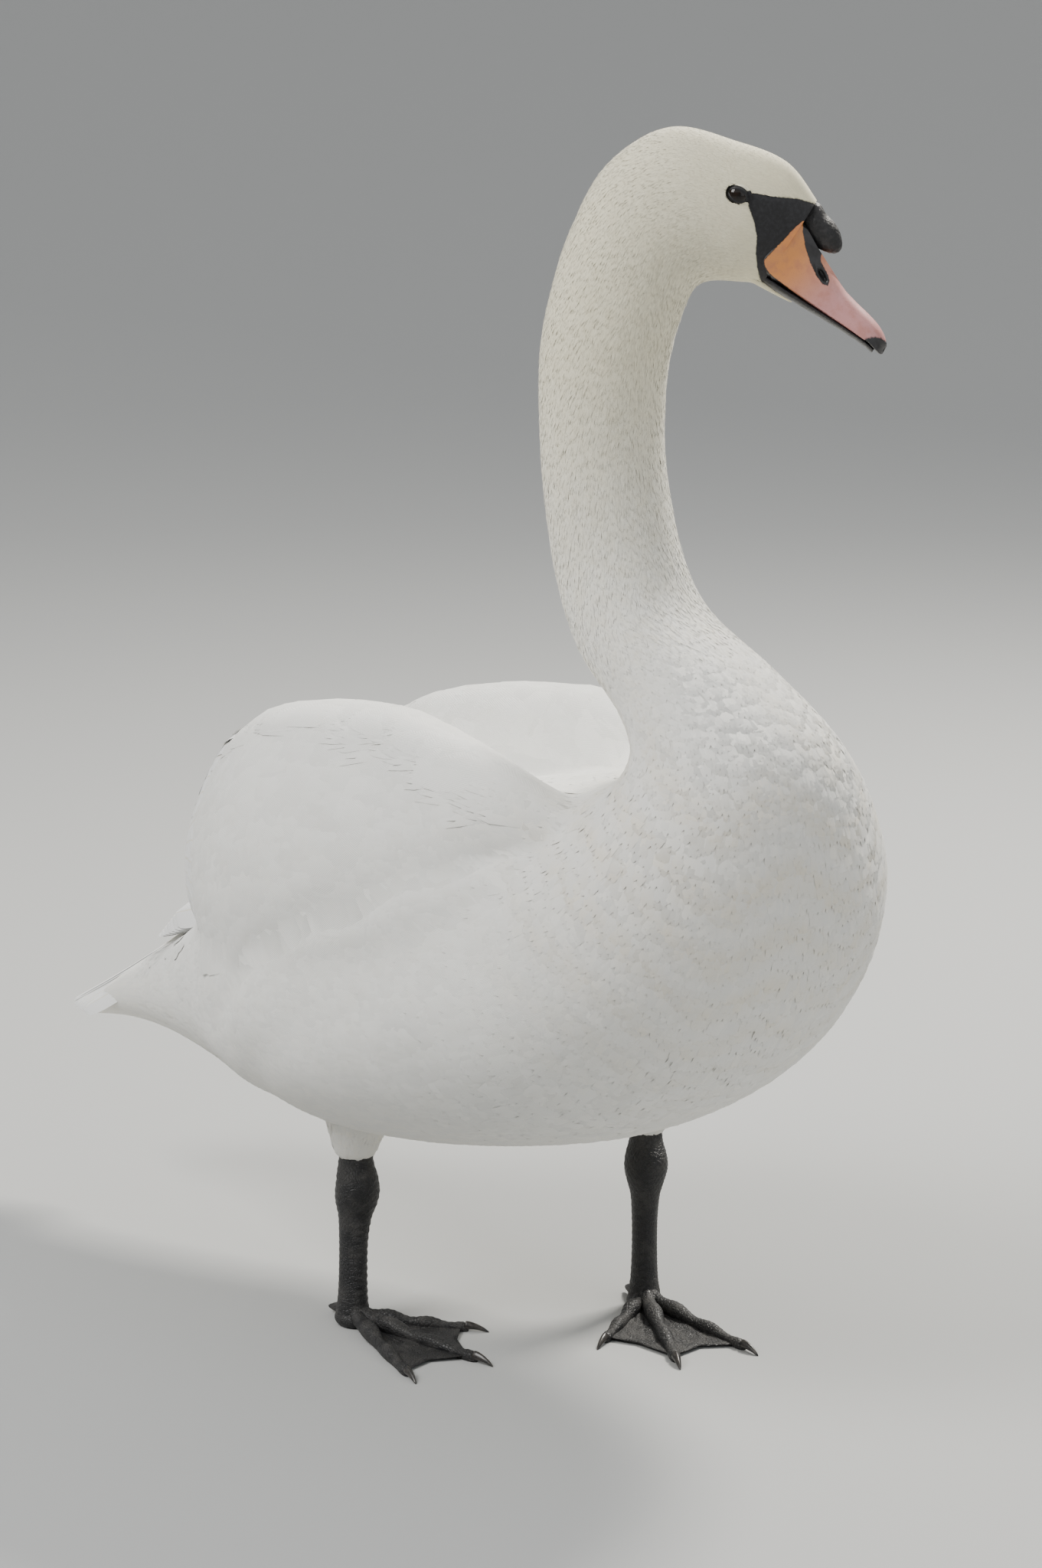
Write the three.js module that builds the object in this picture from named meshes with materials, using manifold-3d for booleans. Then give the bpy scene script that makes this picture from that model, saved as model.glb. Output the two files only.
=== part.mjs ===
// A life-size mute swan, standing on both webbed feet with its left foot forward, its neck in a
// tall S and its head turned to its left. Millimetres, +Z up, +X the way the breast faces,
// +Y the bird's left. The floor is Z = 0.
import * as THREE from "three";
import { mergeVertices } from "three/addons/utils/BufferGeometryUtils.js";
import Module from "manifold-3d";

const wasm = await Module();
wasm.setup();

// ---------------------------------------------------------------- driving dimensions

const GAP = 0.35; // clearance between two sub-parts that meet
const BOX_SHIFT = 89; // moves the bird along X so that the origin is under the middle of its box
const HEAD_TURN = 44; // degrees that the head is turned to the left
const TURN_AXIS_X = 106; // the upright line that the neck twists about
const TURN_FROM = 12.5; // station where the twist begins
const TURN_TO = 19; // station from which the head turns as one
const RING_SIDES = 24; // corners of a body ring
const RINGS_PER_STATION = 1.6;

// The feathered body is a row of rings from tail to face. Each ring hangs between a point on the
// upper outline and a point on the under outline: [upper x, upper z, under x, under z,
// half width, low (how far the widest level sits below the middle), square (2 is an ellipse)].
const BODY = {
  tailEnd: [-452, 152, -456, 138, 15, 0, 2],
  tailRoot: [-385, 194, -392, 148, 38, 0, 2],
  vent: [-312, 240, -316, 151, 67, 0.05, 2],
  rump: [-235, 294, -236, 145, 99, 0.08, 2],
  loin: [-150, 344, -142, 136, 134, 0.1, 2.1],
  back: [-60, 381, -50, 133, 155, 0.1, 2.1],
  shoulder: [30, 400, 62, 150, 161, 0.08, 2.1],
  keel: [95, 414, 168, 181, 158, 0.04, 2.1],
  breast: [134, 420, 244, 233, 146, 0, 2.1],
  breastFront: [152, 426, 290, 310, 126, 0, 2.1],
  breastTop: [161, 434, 300, 386, 102, 0, 2],
  crop: [160, 447, 284, 447, 76, 0, 2],
  neckRoot: [141, 464, 234, 495, 59, 0, 2],
  neckBase: [100, 500, 177, 530, 50, 0, 2],
  neckBend: [74, 544, 155, 566, 44, 0, 2],
  neckLow: [62, 604, 143, 618, 42, 0, 2],
  neckMid: [59, 656, 142, 660, 41, 0, 2],
  neckHigh: [60, 698, 146, 694, 40, 0, 2],
  nape: [67, 734, 153, 719, 38, 0, 2],
  hindHead: [79, 772, 160, 735, 36, 0, 2],
  hindCrown: [103, 815, 167, 740, 34, 0.05, 2],
  crown: [143, 839, 177, 741, 32, 0.08, 2],
  brow: [187, 830, 189, 740, 28, 0.1, 2.1],
  forehead: [219, 817, 197, 739, 21, 0.12, 2.2],
  face: [239, 793, 202, 737, 16.5, 0.1, 2.3],
};
const STATIONS = Object.keys(BODY);
const at = (name) => STATIONS.indexOf(name);

// The body is parted at these stations, each a little past the one that it is named from.
const CUTS = {
  rump: at("vent") + 0.45,
  neckRoot: at("neckRoot") + 0.3,
  neckLow: at("neckBend") + 0.35,
  neckHigh: at("neckMid") + 0.2,
  head: at("nape") + 0.35,
};

// ---------------------------------------------------------------- shape helpers

/** Catmull-Rom value of a table of rows at parameter u, counted in rows. */
function rowAt(table, u) {
  const last = table.length - 1;
  const i = Math.min(Math.max(Math.floor(u), 0), last - 1);
  const f = u - i;
  const row = (k) => table[Math.min(Math.max(k, 0), last)];
  const [a, b, c, d] = [row(i - 1), row(i), row(i + 1), row(i + 2)];
  return b.map((_, k) => {
    const bend = 2 * a[k] - 5 * b[k] + 4 * c[k] - d[k];
    const twist = 3 * b[k] - a[k] - 3 * c[k] + d[k];
    return 0.5 * (2 * b[k] + (c[k] - a[k]) * f + bend * f * f + twist * f * f * f);
  });
}

/** Superellipse corner at an angle: the pair of cosine and sine raised to 2 / square. */
function corner(angle, square) {
  const bulge = (v) => Math.sign(v) * Math.pow(Math.abs(v), 2 / square);
  return [bulge(Math.cos(angle)), bulge(Math.sin(angle))];
}

/** A closed solid from rings of equal length, each an array of THREE.Vector3, with flat ends. */
function loft(rings) {
  const sides = rings[0].length;
  const points = rings.flat();
  const faces = [];
  const first = points.push(middleOf(rings[0])) - 1;
  const last = points.push(middleOf(rings.at(-1))) - 1;
  for (let j = 0; j < sides; j++) {
    const k = (j + 1) % sides;
    const end = (rings.length - 1) * sides;
    faces.push(first, k, j, last, end + j, end + k);
    for (let i = 0; i < end; i += sides)
      faces.push(i + j, i + k, i + sides + k, i + j, i + sides + k, i + sides + j);
  }
  const geometry = new THREE.BufferGeometry().setFromPoints(points).setIndex(faces);
  return solidOf(geometry);
}

function middleOf(ring) {
  const sum = ring.reduce((s, p) => s.add(p), new THREE.Vector3());
  return sum.divideScalar(ring.length);
}

/** A geometry as a manifold-3d solid, turned right side out. */
function solidOf(geometry) {
  const bare = geometry.clone();
  bare.deleteAttribute("normal");
  bare.deleteAttribute("uv");
  const merged = mergeVertices(bare, 1e-4);
  const vertProperties = merged.attributes.position.array;
  const triVerts = new Uint32Array(merged.index.array);
  const made = new wasm.Manifold(new wasm.Mesh({ numProp: 3, vertProperties, triVerts }));
  if (made.volume() > 0) return made;
  for (let i = 0; i < triVerts.length; i += 3)
    [triVerts[i + 1], triVerts[i + 2]] = [triVerts[i + 2], triVerts[i + 1]];
  return new wasm.Manifold(new wasm.Mesh({ numProp: 3, vertProperties, triVerts }));
}

/** The largest closed body of a solid, so that a cut leaves no crumbs. */
function largest(solid) {
  return solid.decompose().reduce((a, b) => (a.volume() > b.volume() ? a : b));
}

const group = new THREE.Group();
group.position.x = BOX_SHIFT;

function addNode(name, solid, material) {
  const cut = largest(solid).getMesh();
  const places = new Float32Array(cut.numVert * 3);
  for (let i = 0; i < cut.numVert; i++)
    places.set(cut.vertProperties.subarray(i * cut.numProp, i * cut.numProp + 3), i * 3);
  const geometry = new THREE.BufferGeometry();
  geometry.setAttribute("position", new THREE.BufferAttribute(places, 3));
  geometry.setIndex(new THREE.BufferAttribute(cut.triVerts, 1));
  geometry.computeVertexNormals();
  const mesh = new THREE.Mesh(geometry, material);
  mesh.name = name;
  group.add(mesh);
  return mesh;
}

/** Turns a point of the sagittal body about the neck's upright line, by a share of HEAD_TURN. */
function turned(point, share) {
  const angle = THREE.MathUtils.degToRad(HEAD_TURN) * share;
  const x = point.x - TURN_AXIS_X;
  const { y } = point;
  point.x = TURN_AXIS_X + x * Math.cos(angle) - y * Math.sin(angle);
  point.y = x * Math.sin(angle) + y * Math.cos(angle);
  return point;
}

// ---------------------------------------------------------------- materials

const finish = (color, roughness) =>
  new THREE.MeshStandardMaterial({ color, roughness, metalness: 0 });
const whiteFeather = finish(0xf2f2ec, 0.9);
const creamFeather = finish(0xf0ead4, 0.9);
const blackSkin = finish(0x16171a, 0.6);
const orangeBill = finish(0xe08a5c, 0.45);
const darkEye = finish(0x120c08, 0.1);
const blackLeg = finish(0x1a1a1b, 0.65);
const clawHorn = finish(0x101010, 0.4);

// ---------------------------------------------------------------- feathered body

/** One ring of the body at station u, pushed out by extra millimetres. */
function bodyRing(u, extra = 0) {
  const row = rowAt(Object.values(BODY), u);
  const upper = new THREE.Vector2(row[0], row[1]);
  const under = new THREE.Vector2(row[2], row[3]);
  const middle = upper.clone().add(under).divideScalar(2);
  const arm = upper.clone().sub(middle);
  arm.setLength(arm.length() + extra);
  const share = THREE.MathUtils.smoothstep(u, TURN_FROM, TURN_TO);
  return Array.from({ length: RING_SIDES }, (_, j) => {
    const [c, s] = corner((j / RING_SIDES) * 2 * Math.PI, row[6]);
    const y = (row[4] + extra) * s * (1 - row[5] * c);
    return turned(new THREE.Vector3(middle.x + arm.x * c, y, middle.y + arm.y * c), share);
  });
}

function bodyLength(from, to, extra = 0) {
  const steps = Math.max(2, Math.round((to - from) * RINGS_PER_STATION));
  const rings = [];
  for (let i = 0; i <= steps; i++) rings.push(bodyRing(from + ((to - from) * i) / steps, extra));
  return loft(rings);
}

const SLIT = 0.0045; // half the cut between two lengths, in stations
const lengths = {
  rump: [0, CUTS.rump - SLIT],
  trunk: [CUTS.rump + SLIT, CUTS.neckRoot - SLIT],
  neck_lower: [CUTS.neckRoot + SLIT, CUTS.neckLow - SLIT],
  neck_middle: [CUTS.neckLow + SLIT, CUTS.neckHigh - SLIT],
  neck_upper: [CUTS.neckHigh + SLIT, CUTS.head - SLIT],
  head: [CUTS.head + SLIT, STATIONS.length - 1],
};
// The room that the trunk, the rump and the slit between them take from wings, tail and legs.
const wholeBody = bodyLength(...lengths.rump, GAP)
  .add(bodyLength(...lengths.trunk, GAP))
  .add(bodyLength(CUTS.rump - 0.02, CUTS.rump + 0.02, GAP));

// ---------------------------------------------------------------- folded wings

// Egg-shaped rings upright across the body, from the wrist back to the wing's end:
// [x, distance from the middle line, height, half height, half thickness, lean in degrees].
const WING = [
  [160, 108, 352, 8, 5, 4],
  [150, 108, 356, 56, 22, 4],
  [122, 106, 354, 80, 37, 6],
  [70, 104, 351, 101, 51, 6],
  [0, 98, 348, 113, 61, 8],
  [-70, 95, 343, 112, 63, 8],
  [-140, 85, 334, 107, 60, 8],
  [-196, 68, 323, 88, 51, 8],
  [-236, 52, 310, 66, 40, 8],
  [-260, 42, 302, 40, 25, 8],
  [-270, 38, 299, 11, 8, 8],
];
const WING_RAISED = { left: -6, right: 4 }; // the right wing is held a little higher
const WING_SIDES = 18;
const WING_RINGS_PER_STATION = 1.5;

function wingRing(u, side, raised) {
  const [x, out, level, tall, thick, lean] = rowAt(WING, u);
  const height = level + raised;
  const tilt = THREE.MathUtils.degToRad(lean);
  return Array.from({ length: WING_SIDES }, (_, j) => {
    const angle = (j / WING_SIDES) * 2 * Math.PI;
    const rise = tall * Math.cos(angle);
    const swell = thick * Math.sin(angle);
    const y = out + swell * Math.cos(tilt) - rise * Math.sin(tilt);
    return new THREE.Vector3(x, side * y, height + rise * Math.cos(tilt) + swell * Math.sin(tilt));
  });
}

// The primaries' tips: a thin blade from under each wing's end to the root of the tail.
const BLADE = [
  [-235, 38, 272, 20, 7],
  [-280, 32, 252, 19, 6],
  [-320, 24, 230, 14, 5],
  [-350, 16, 214, 8, 4],
  [-362, 12, 207, 3, 2],
];

function bladeRing(row, side) {
  const [x, out, height, wide, thick] = row;
  return Array.from({ length: 10 }, (_, j) => {
    const angle = (j / 10) * 2 * Math.PI;
    const y = side * (out + wide * Math.sin(angle));
    return new THREE.Vector3(x, y, height + thick * Math.cos(angle));
  });
}

// ---------------------------------------------------------------- tail

// The closed fan of tail feathers, over the covert wedge: [x, z, half width, half thickness].
const TAIL = [
  [-300, 240, 34, 5],
  [-340, 221, 38, 5],
  [-372, 202, 38, 4.5],
  [-418, 173, 32, 4],
  [-455, 152, 19, 3],
  [-478, 141, 8, 2],
];

function tailRing(row) {
  const [x, z, wide, thick] = row;
  return Array.from({ length: 16 }, (_, j) => {
    const [c, s] = corner((j / 16) * 2 * Math.PI, 2.4);
    return new THREE.Vector3(x, wide * s, z + thick * c - 0.0016 * (wide * s) ** 2);
  });
}

// ---------------------------------------------------------------- bill, knob and eyes

const GAPE = new THREE.Vector2(203, 742); // corner of the mouth, in the sagittal plane
const BILL_DROP = 31; // degrees that the bill points below level
const EYE = new THREE.Vector3(187.5, 21.2, 796.5);
const EYE_RADIUS = 7.2;

/** A point of the bill's own frame: along it, across it and up from the mouth line. */
function billPoint(along, across, up) {
  const drop = THREE.MathUtils.degToRad(BILL_DROP);
  const x = GAPE.x + along * Math.cos(drop) + up * Math.sin(drop);
  const z = GAPE.y - along * Math.sin(drop) + up * Math.cos(drop);
  return turned(new THREE.Vector3(x, across, z), 1);
}

// [along, mouth line, ridge, half width, half width of the ridge as a share]
const UPPER_BILL = [
  [-7, 3.6, 47, 15.6],
  [2, 3.4, 46, 15.8],
  [10, 3.2, 42.5, 15.4],
  [20, 3, 37, 14.7],
  [29, 2.8, 32.6, 14.2],
  [39, 2.5, 27.8, 13.8],
  [50, 2.2, 22.5, 13.6],
  [61, 1.9, 19.4, 13.9],
  [72, 1.4, 17, 14],
  [81, 0.4, 14.4, 12.8],
  [87.5, -1.2, 11, 9.6],
  [91.5, -2.2, 7.4, 5.6],
  [93.2, -1.6, 4, 2],
];
const LOWER_BILL = [
  [-5, -1.8, 3, 13.2],
  [10, -2, 2.8, 13.4],
  [30, -1.7, 2.4, 12.8],
  [50, -1.4, 1.8, 12.4],
  [68, -1.6, 1.1, 12.4],
  [79, -2.2, 0.1, 10.6],
  [86, -3.2, -1.7, 6],
];
const BILL_SIDES = 16;

/** A bill ring: a full arch over a flatter base, so that it is widest at the mouth line. */
function billRing([along, low, high, half], archShare, extra = 0) {
  const level = low + (high - low) * archShare;
  return Array.from({ length: BILL_SIDES }, (_, j) => {
    const [c, s] = corner((j / BILL_SIDES) * 2 * Math.PI, 2.2);
    const up = c > 0 ? (high - level + extra) * c : (level - low + extra) * c;
    return billPoint(along, (half + extra) * s, level + up);
  });
}

const KNOB = { along: 14.5, up: 47, long: 18.6, tall: 9.6, wide: 10.2, tilt: 16 };

function knobSolid(extra = 0) {
  const ball = new THREE.SphereGeometry(1, 14, 10);
  const tilt = THREE.MathUtils.degToRad(KNOB.tilt);
  const place = ball.attributes.position;
  for (let i = 0; i < place.count; i++) {
    const x = place.getX(i) * (KNOB.long + extra);
    const y = place.getY(i) * (KNOB.wide + extra);
    const z = place.getZ(i) * (KNOB.tall + extra);
    const along = KNOB.along + x * Math.cos(tilt) + z * Math.sin(tilt);
    const p = billPoint(along, y, KNOB.up - x * Math.sin(tilt) + z * Math.cos(tilt));
    place.setXYZ(i, p.x, p.y, p.z);
  }
  return solidOf(ball);
}

// The feathered wedge of the chin, between the two sides of the lower bill.
const CHIN = [
  [-14, -5, 3, 12],
  [0, -4.6, 1.5, 9.5],
  [14, -3.6, 0.6, 6.5],
  [25, -2.6, 0, 3],
];

function eyeSolid(side, radius) {
  const ball = new THREE.SphereGeometry(radius, 12, 8);
  const p = turned(new THREE.Vector3(EYE.x, side * EYE.y, EYE.z), 1);
  return solidOf(ball.translate(p.x, p.y, p.z));
}

// ---------------------------------------------------------------- legs and feet

const SOLE = 0; // height of the flats that the bird stands on
const LEGS = {
  left: { side: 1, x: 46, y: 100, heading: -34, ankle: [-14, 3], knee: [-30, 8] },
  right: { side: -1, x: -71, y: -76, heading: 4, ankle: [1, -2], knee: [4, -4] },
};
const ANKLE_HEIGHT = 98;
const SHANK = [
  // [height, half depth, half width, bulge of the ankle to the front]
  [9, 12, 11.5, 0],
  [20, 11, 9.8, 0],
  [38, 10.6, 9, 0],
  [60, 10.8, 9, 0],
  [78, 12.4, 10.2, 1],
  [90, 15.4, 13, 2.4],
  [100, 17, 14.6, 3.2],
  [110, 16, 14, 2.6],
  [122, 12.8, 11.6, 1],
  [146, 11, 10, 0],
];
const THIGH = [
  // [height, half length, half width] of the feathered upper leg
  [127, 15.5, 14.5],
  [135, 19, 17.5],
  [150, 25, 23],
  [172, 40, 31],
  [205, 58, 38],
];
// [angle from the foot's heading towards its outer side, length without the claw, root half width]
const TOES = {
  inner: [-31, 84, 6.6],
  middle: [-1, 118, 7.2],
  outer: [26, 114, 6.8],
};
const CLAW_LENGTH = 15;
const WEB_THICKNESS = 2.6;
const HIND_TOE = { length: 24, half: 4.4, height: 9, drop: 4.5 };
const PAD = { long: 15, wide: 13, tall: 8, height: 5 };

/** A point in a foot's own frame: ahead, towards the outer side, and up. */
function footPoint(leg, ahead, outer, up) {
  const heading = THREE.MathUtils.degToRad(leg.heading);
  const y = outer * leg.side;
  const turnedX = ahead * Math.cos(heading) - y * Math.sin(heading);
  const turnedY = ahead * Math.sin(heading) + y * Math.cos(heading);
  return new THREE.Vector3(leg.x + turnedX, leg.y + turnedY, up);
}

/** Where the leg's own line is at a height: from the foot joint to the ankle, then to the knee. */
function legLine(leg, height) {
  const up = height / ANKLE_HEIGHT;
  const above = Math.max(0, up - 1);
  return [
    leg.ankle[0] * Math.min(up, 1) + (leg.knee[0] - leg.ankle[0]) * above,
    leg.ankle[1] * Math.min(up, 1) + (leg.knee[1] - leg.ankle[1]) * above,
  ];
}

function legRing(leg, height, depth, width, bulge = 0, sides = 12) {
  const [ahead, outer] = legLine(leg, height);
  return Array.from({ length: sides }, (_, j) => {
    const angle = (j / sides) * 2 * Math.PI;
    const a = ahead + bulge + depth * Math.cos(angle);
    return footPoint(leg, a, outer + width * Math.sin(angle), height);
  });
}

/** A toe: rings along its line, swollen at the joints, sloping down to the claw. */
function toeSolid(leg, [spread, length, root], extra = 0) {
  const angle = THREE.MathUtils.degToRad(spread);
  const rings = [];
  const steps = 7;
  for (let i = 0; i <= steps; i++) {
    const t = i / steps;
    const joint = 1 + 0.14 * Math.cos(t * 3 * 2 * Math.PI);
    const half = root * (1 - 0.42 * t) * (i === steps ? 0.7 : joint) * 0.9 + extra;
    const height = half * 0.86 + 5.5 * Math.pow(1 - t, 3);
    const along = length * t;
    rings.push(
      Array.from({ length: 8 }, (_, j) => {
        const a = (j / 8) * 2 * Math.PI;
        const across = half * Math.sin(a);
        const ahead = along * Math.cos(angle) - across * Math.sin(angle);
        const outer = along * Math.sin(angle) + across * Math.cos(angle);
        return footPoint(leg, ahead, outer, height - 0.6 + half * Math.cos(a));
      }),
    );
  }
  return loft(rings);
}

function clawSolid(leg, [spread, length, root]) {
  const angle = THREE.MathUtils.degToRad(spread);
  const rings = [];
  const steps = 4;
  for (let i = 0; i <= steps; i++) {
    const t = i / steps;
    const along = length + GAP + (CLAW_LENGTH - 1) * t;
    const half = root * 0.42 * Math.pow(1 - 0.88 * t, 0.7);
    const height = Math.max(half, root * 0.42 + 1.4 - 4.2 * t * t);
    rings.push(
      Array.from({ length: 8 }, (_, j) => {
        const a = (j / 8) * 2 * Math.PI;
        const across = half * Math.sin(a) * 0.9;
        const ahead = along * Math.cos(angle) - across * Math.sin(angle);
        const outer = along * Math.sin(angle) + across * Math.cos(angle);
        return footPoint(leg, ahead, outer, height + half * Math.cos(a));
      }),
    );
  }
  return loft(rings);
}

/** The webs: a thin plate from the foot joint to the toes' ends, its front edge scalloped. */
function webSolid(leg) {
  const edge = [[0, -6]];
  const toes = Object.values(TOES);
  for (let t = 0; t < toes.length - 1; t++) {
    const [a, b] = [toes[t], toes[t + 1]];
    for (let i = 0; i <= 5; i++) {
      const f = i / 5;
      const spread = THREE.MathUtils.degToRad(a[0] + (b[0] - a[0]) * f);
      const reach = a[1] + (b[1] - a[1]) * f;
      const radius = reach * (0.94 - 0.16 * Math.sin(f * Math.PI));
      edge.push([radius * Math.cos(spread), radius * Math.sin(spread)]);
    }
  }
  edge.push([0, 6]);
  const outline = edge.filter((p, i) => i === 0 || p.join() !== edge[i - 1].join());
  const shape = new THREE.Shape(outline.map(([a, o]) => new THREE.Vector2(a, o)));
  const plate = new THREE.ExtrudeGeometry(shape, { depth: WEB_THICKNESS, bevelEnabled: false });
  const place = plate.attributes.position;
  for (let i = 0; i < place.count; i++) {
    const p = footPoint(leg, place.getX(i), place.getY(i), 0.8 + place.getZ(i));
    place.setXYZ(i, p.x, p.y, p.z);
  }
  return solidOf(plate);
}

/** The small raised hind toe, from behind the foot joint. */
function hindToeSolid(leg) {
  const rings = [];
  for (let i = 0; i <= 3; i++) {
    const t = i / 3;
    const half = HIND_TOE.half * (1 - 0.75 * t * t);
    rings.push(
      Array.from({ length: 8 }, (_, j) => {
        const a = (j / 8) * 2 * Math.PI;
        const up = HIND_TOE.height - HIND_TOE.drop * t + half * Math.cos(a);
        return footPoint(leg, -6 - HIND_TOE.length * t, -3 - 4 * t + half * Math.sin(a), up);
      }),
    );
  }
  return loft(rings);
}

/** The pad under the foot joint that the toes, the webs and the hind toe spread from. */
function padSolid(leg) {
  const ball = new THREE.SphereGeometry(1, 10, 6);
  const place = ball.attributes.position;
  for (let i = 0; i < place.count; i++) {
    const [a, o, u] = [place.getX(i) * PAD.long, place.getY(i) * PAD.wide, place.getZ(i) * PAD.tall];
    const p = footPoint(leg, a + 2, o, PAD.height + u);
    place.setXYZ(i, p.x, p.y, p.z);
  }
  return solidOf(ball);
}

/** Everything of a solid above a height. */
function above(solid, height) {
  const block = new THREE.BoxGeometry(3000, 3000, 3000).translate(0, 0, height - 1500);
  return solid.subtract(solidOf(block));
}

// ---------------------------------------------------------------- putting the bird together

for (const name of ["trunk", "rump", "neck_lower"])
  addNode(name, bodyLength(...lengths[name]), whiteFeather);
for (const name of ["neck_middle", "neck_upper"])
  addNode(name, bodyLength(...lengths[name]), creamFeather);

const tailFan = loft(TAIL.map(tailRing)).subtract(wholeBody);
addNode("tail", tailFan, whiteFeather);
const tailKeepOut = loft(TAIL.map(([x, z, w, t]) => tailRing([x, z, w + GAP, t + GAP])));

for (const [name, side] of [["left", 1], ["right", -1]]) {
  const rings = [];
  const last = (WING.length - 1) * WING_RINGS_PER_STATION;
  for (let i = 0; i <= last; i++) 
    rings.push(wingRing(i / WING_RINGS_PER_STATION, side, WING_RAISED[name]));
  const wing = loft(rings);
  const middleWall = new THREE.BoxGeometry(2000, 2 * GAP, 2000);
  const clear = wholeBody.add(solidOf(middleWall)).add(tailKeepOut);
  addNode(`wing_${name}`, wing.subtract(clear), whiteFeather);
  const keepOut = loft(rings.map((ring) => ring.map((p) => swollen(p, middleOf(ring), GAP))));
  const blade = loft(BLADE.map((row) => bladeRing(row, side)));
  const bladeClear = clear.add(keepOut);
  addNode(`primaries_${name}`, blade.subtract(bladeClear), whiteFeather);
}

/** A ring's point moved away from its middle by a distance. */
function swollen(point, middle, distance) {
  const arm = point.clone().sub(middle);
  return point.clone().add(arm.setLength(distance));
}

// Head: the body's last length and the chin wedge, cut back from the bill, the knob and the eyes.
const upperBill = loft(UPPER_BILL.map((row) => billRing(row, 0.12)));
const lowerBill = loft(LOWER_BILL.map((row) => billRing(row, 0.8)));
const knob = knobSolid();
const chin = loft(CHIN.map((row) => billRing(row, 0.5)));
const lowerBillKeepOut = loft(LOWER_BILL.map((row) => billRing(row, 0.8, GAP)));
let head = bodyLength(...lengths.head).add(chin);
const headKeepOut = bodyLength(...lengths.head, GAP);
for (const side of [1, -1]) head = head.subtract(eyeSolid(side, EYE_RADIUS + GAP));
head = head.subtract(knobSolid(GAP)).subtract(lowerBillKeepOut);
addNode("head", head, creamFeather);
addNode("bill_knob", knob, blackSkin);
addNode("bill_upper", upperBill.subtract(headKeepOut).subtract(knobSolid(GAP)), orangeBill);
addNode("bill_lower", lowerBill.subtract(loft(UPPER_BILL.map((row) => billRing(row, 0.12, GAP)))), blackSkin);
addNode("eye_left", eyeSolid(1, EYE_RADIUS), darkEye);
addNode("eye_right", eyeSolid(-1, EYE_RADIUS), darkEye);

for (const [name, leg] of Object.entries(LEGS)) {
  const shank = loft(SHANK.map(([h, d, w, b]) => legRing(leg, h, d, w, b)));
  const shankKeepOut = loft(SHANK.map(([h, d, w, b]) => legRing(leg, h, d + GAP, w + GAP, b)));
  const thigh = loft(THIGH.map(([h, d, w]) => legRing(leg, h, d, w, 0, 16)));
  addNode(`thigh_${name}`, thigh.subtract(wholeBody).subtract(shankKeepOut), whiteFeather);
  addNode(`shank_${name}`, shank.subtract(wholeBody), blackLeg);
  let foot = webSolid(leg).add(padSolid(leg)).add(hindToeSolid(leg));
  for (const toe of Object.values(TOES)) foot = foot.add(toeSolid(leg, toe));
  addNode(`foot_${name}`, above(foot.subtract(shankKeepOut), SOLE), blackLeg);
  for (const [toeName, toe] of Object.entries(TOES))
    addNode(`claw_${name}_${toeName}`, above(clawSolid(leg, toe), SOLE), clawHorn);
}

export default group;
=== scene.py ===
import math

import bpy
import numpy as np
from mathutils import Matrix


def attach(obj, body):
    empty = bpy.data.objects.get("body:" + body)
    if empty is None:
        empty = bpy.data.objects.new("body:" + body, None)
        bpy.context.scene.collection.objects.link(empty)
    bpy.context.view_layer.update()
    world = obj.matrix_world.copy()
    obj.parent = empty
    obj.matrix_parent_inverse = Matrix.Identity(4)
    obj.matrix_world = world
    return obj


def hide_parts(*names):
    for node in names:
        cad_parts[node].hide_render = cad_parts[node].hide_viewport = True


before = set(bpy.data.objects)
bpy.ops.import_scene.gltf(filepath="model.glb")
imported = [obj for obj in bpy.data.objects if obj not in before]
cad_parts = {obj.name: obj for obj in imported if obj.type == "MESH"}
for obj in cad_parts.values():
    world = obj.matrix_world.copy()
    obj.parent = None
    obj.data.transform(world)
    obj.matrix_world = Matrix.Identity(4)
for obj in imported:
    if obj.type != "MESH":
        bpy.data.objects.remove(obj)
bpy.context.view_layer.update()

# ---------------------------------------------------------------------------------------
# Floor, light and camera.
# A plain pale floor, one broad soft key lamp, a small warm lamp on the bird's far left that
# rims the neck and back, and a weak fill. The camera stands to the bird's front right.

VIEW_AZIMUTH, VIEW_DOWN = 46.0, 12.0
VIEW_DISTANCE = 2.6
VIEW_AIM = np.array([0.1012, 0.0098, 0.3908])
VIEW_LENS = 86.84
FLOOR_SIDES = 96
MM = 0.001


def aimed(name, data, azimuth, elevation, distance):
    """A camera or a lamp on a sphere round the bird, turned to face its middle."""
    a, e = math.radians(azimuth), math.radians(elevation)
    back = np.array([math.sin(a) * math.cos(e), -math.cos(a) * math.cos(e), math.sin(e)])
    made = bpy.data.objects.new(name, data)
    made.location = VIEW_AIM + distance * back
    made.rotation_euler = (math.pi / 2 - e, 0, a)
    bpy.context.scene.collection.objects.link(made)
    return made


def full_turn(count):
    """Angles of so many points, evenly round a circle."""
    return np.linspace(0, 2 * np.pi, count, endpoint=False)


def points_at(x, y, z):
    """Points, or directions, from their coordinates, each a number or an array."""
    return np.stack(np.broadcast_arrays(x, y, z), -1)


def grid_cells(rows, columns):
    """The row and the column of each cell in a grid of so many cells."""
    return np.meshgrid(np.arange(rows), np.arange(columns), indexing="ij")


def grid_faces(rows, columns):
    """Quads of a grid whose columns close into a ring, facing out for rows that run backward."""
    i, j = grid_cells(rows - 1, columns)
    k = (j + 1) % columns
    return np.stack([i * columns + j, i * columns + k, (i + 1) * columns + k,
                     (i + 1) * columns + j], -1).reshape(-1, 4)


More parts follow.
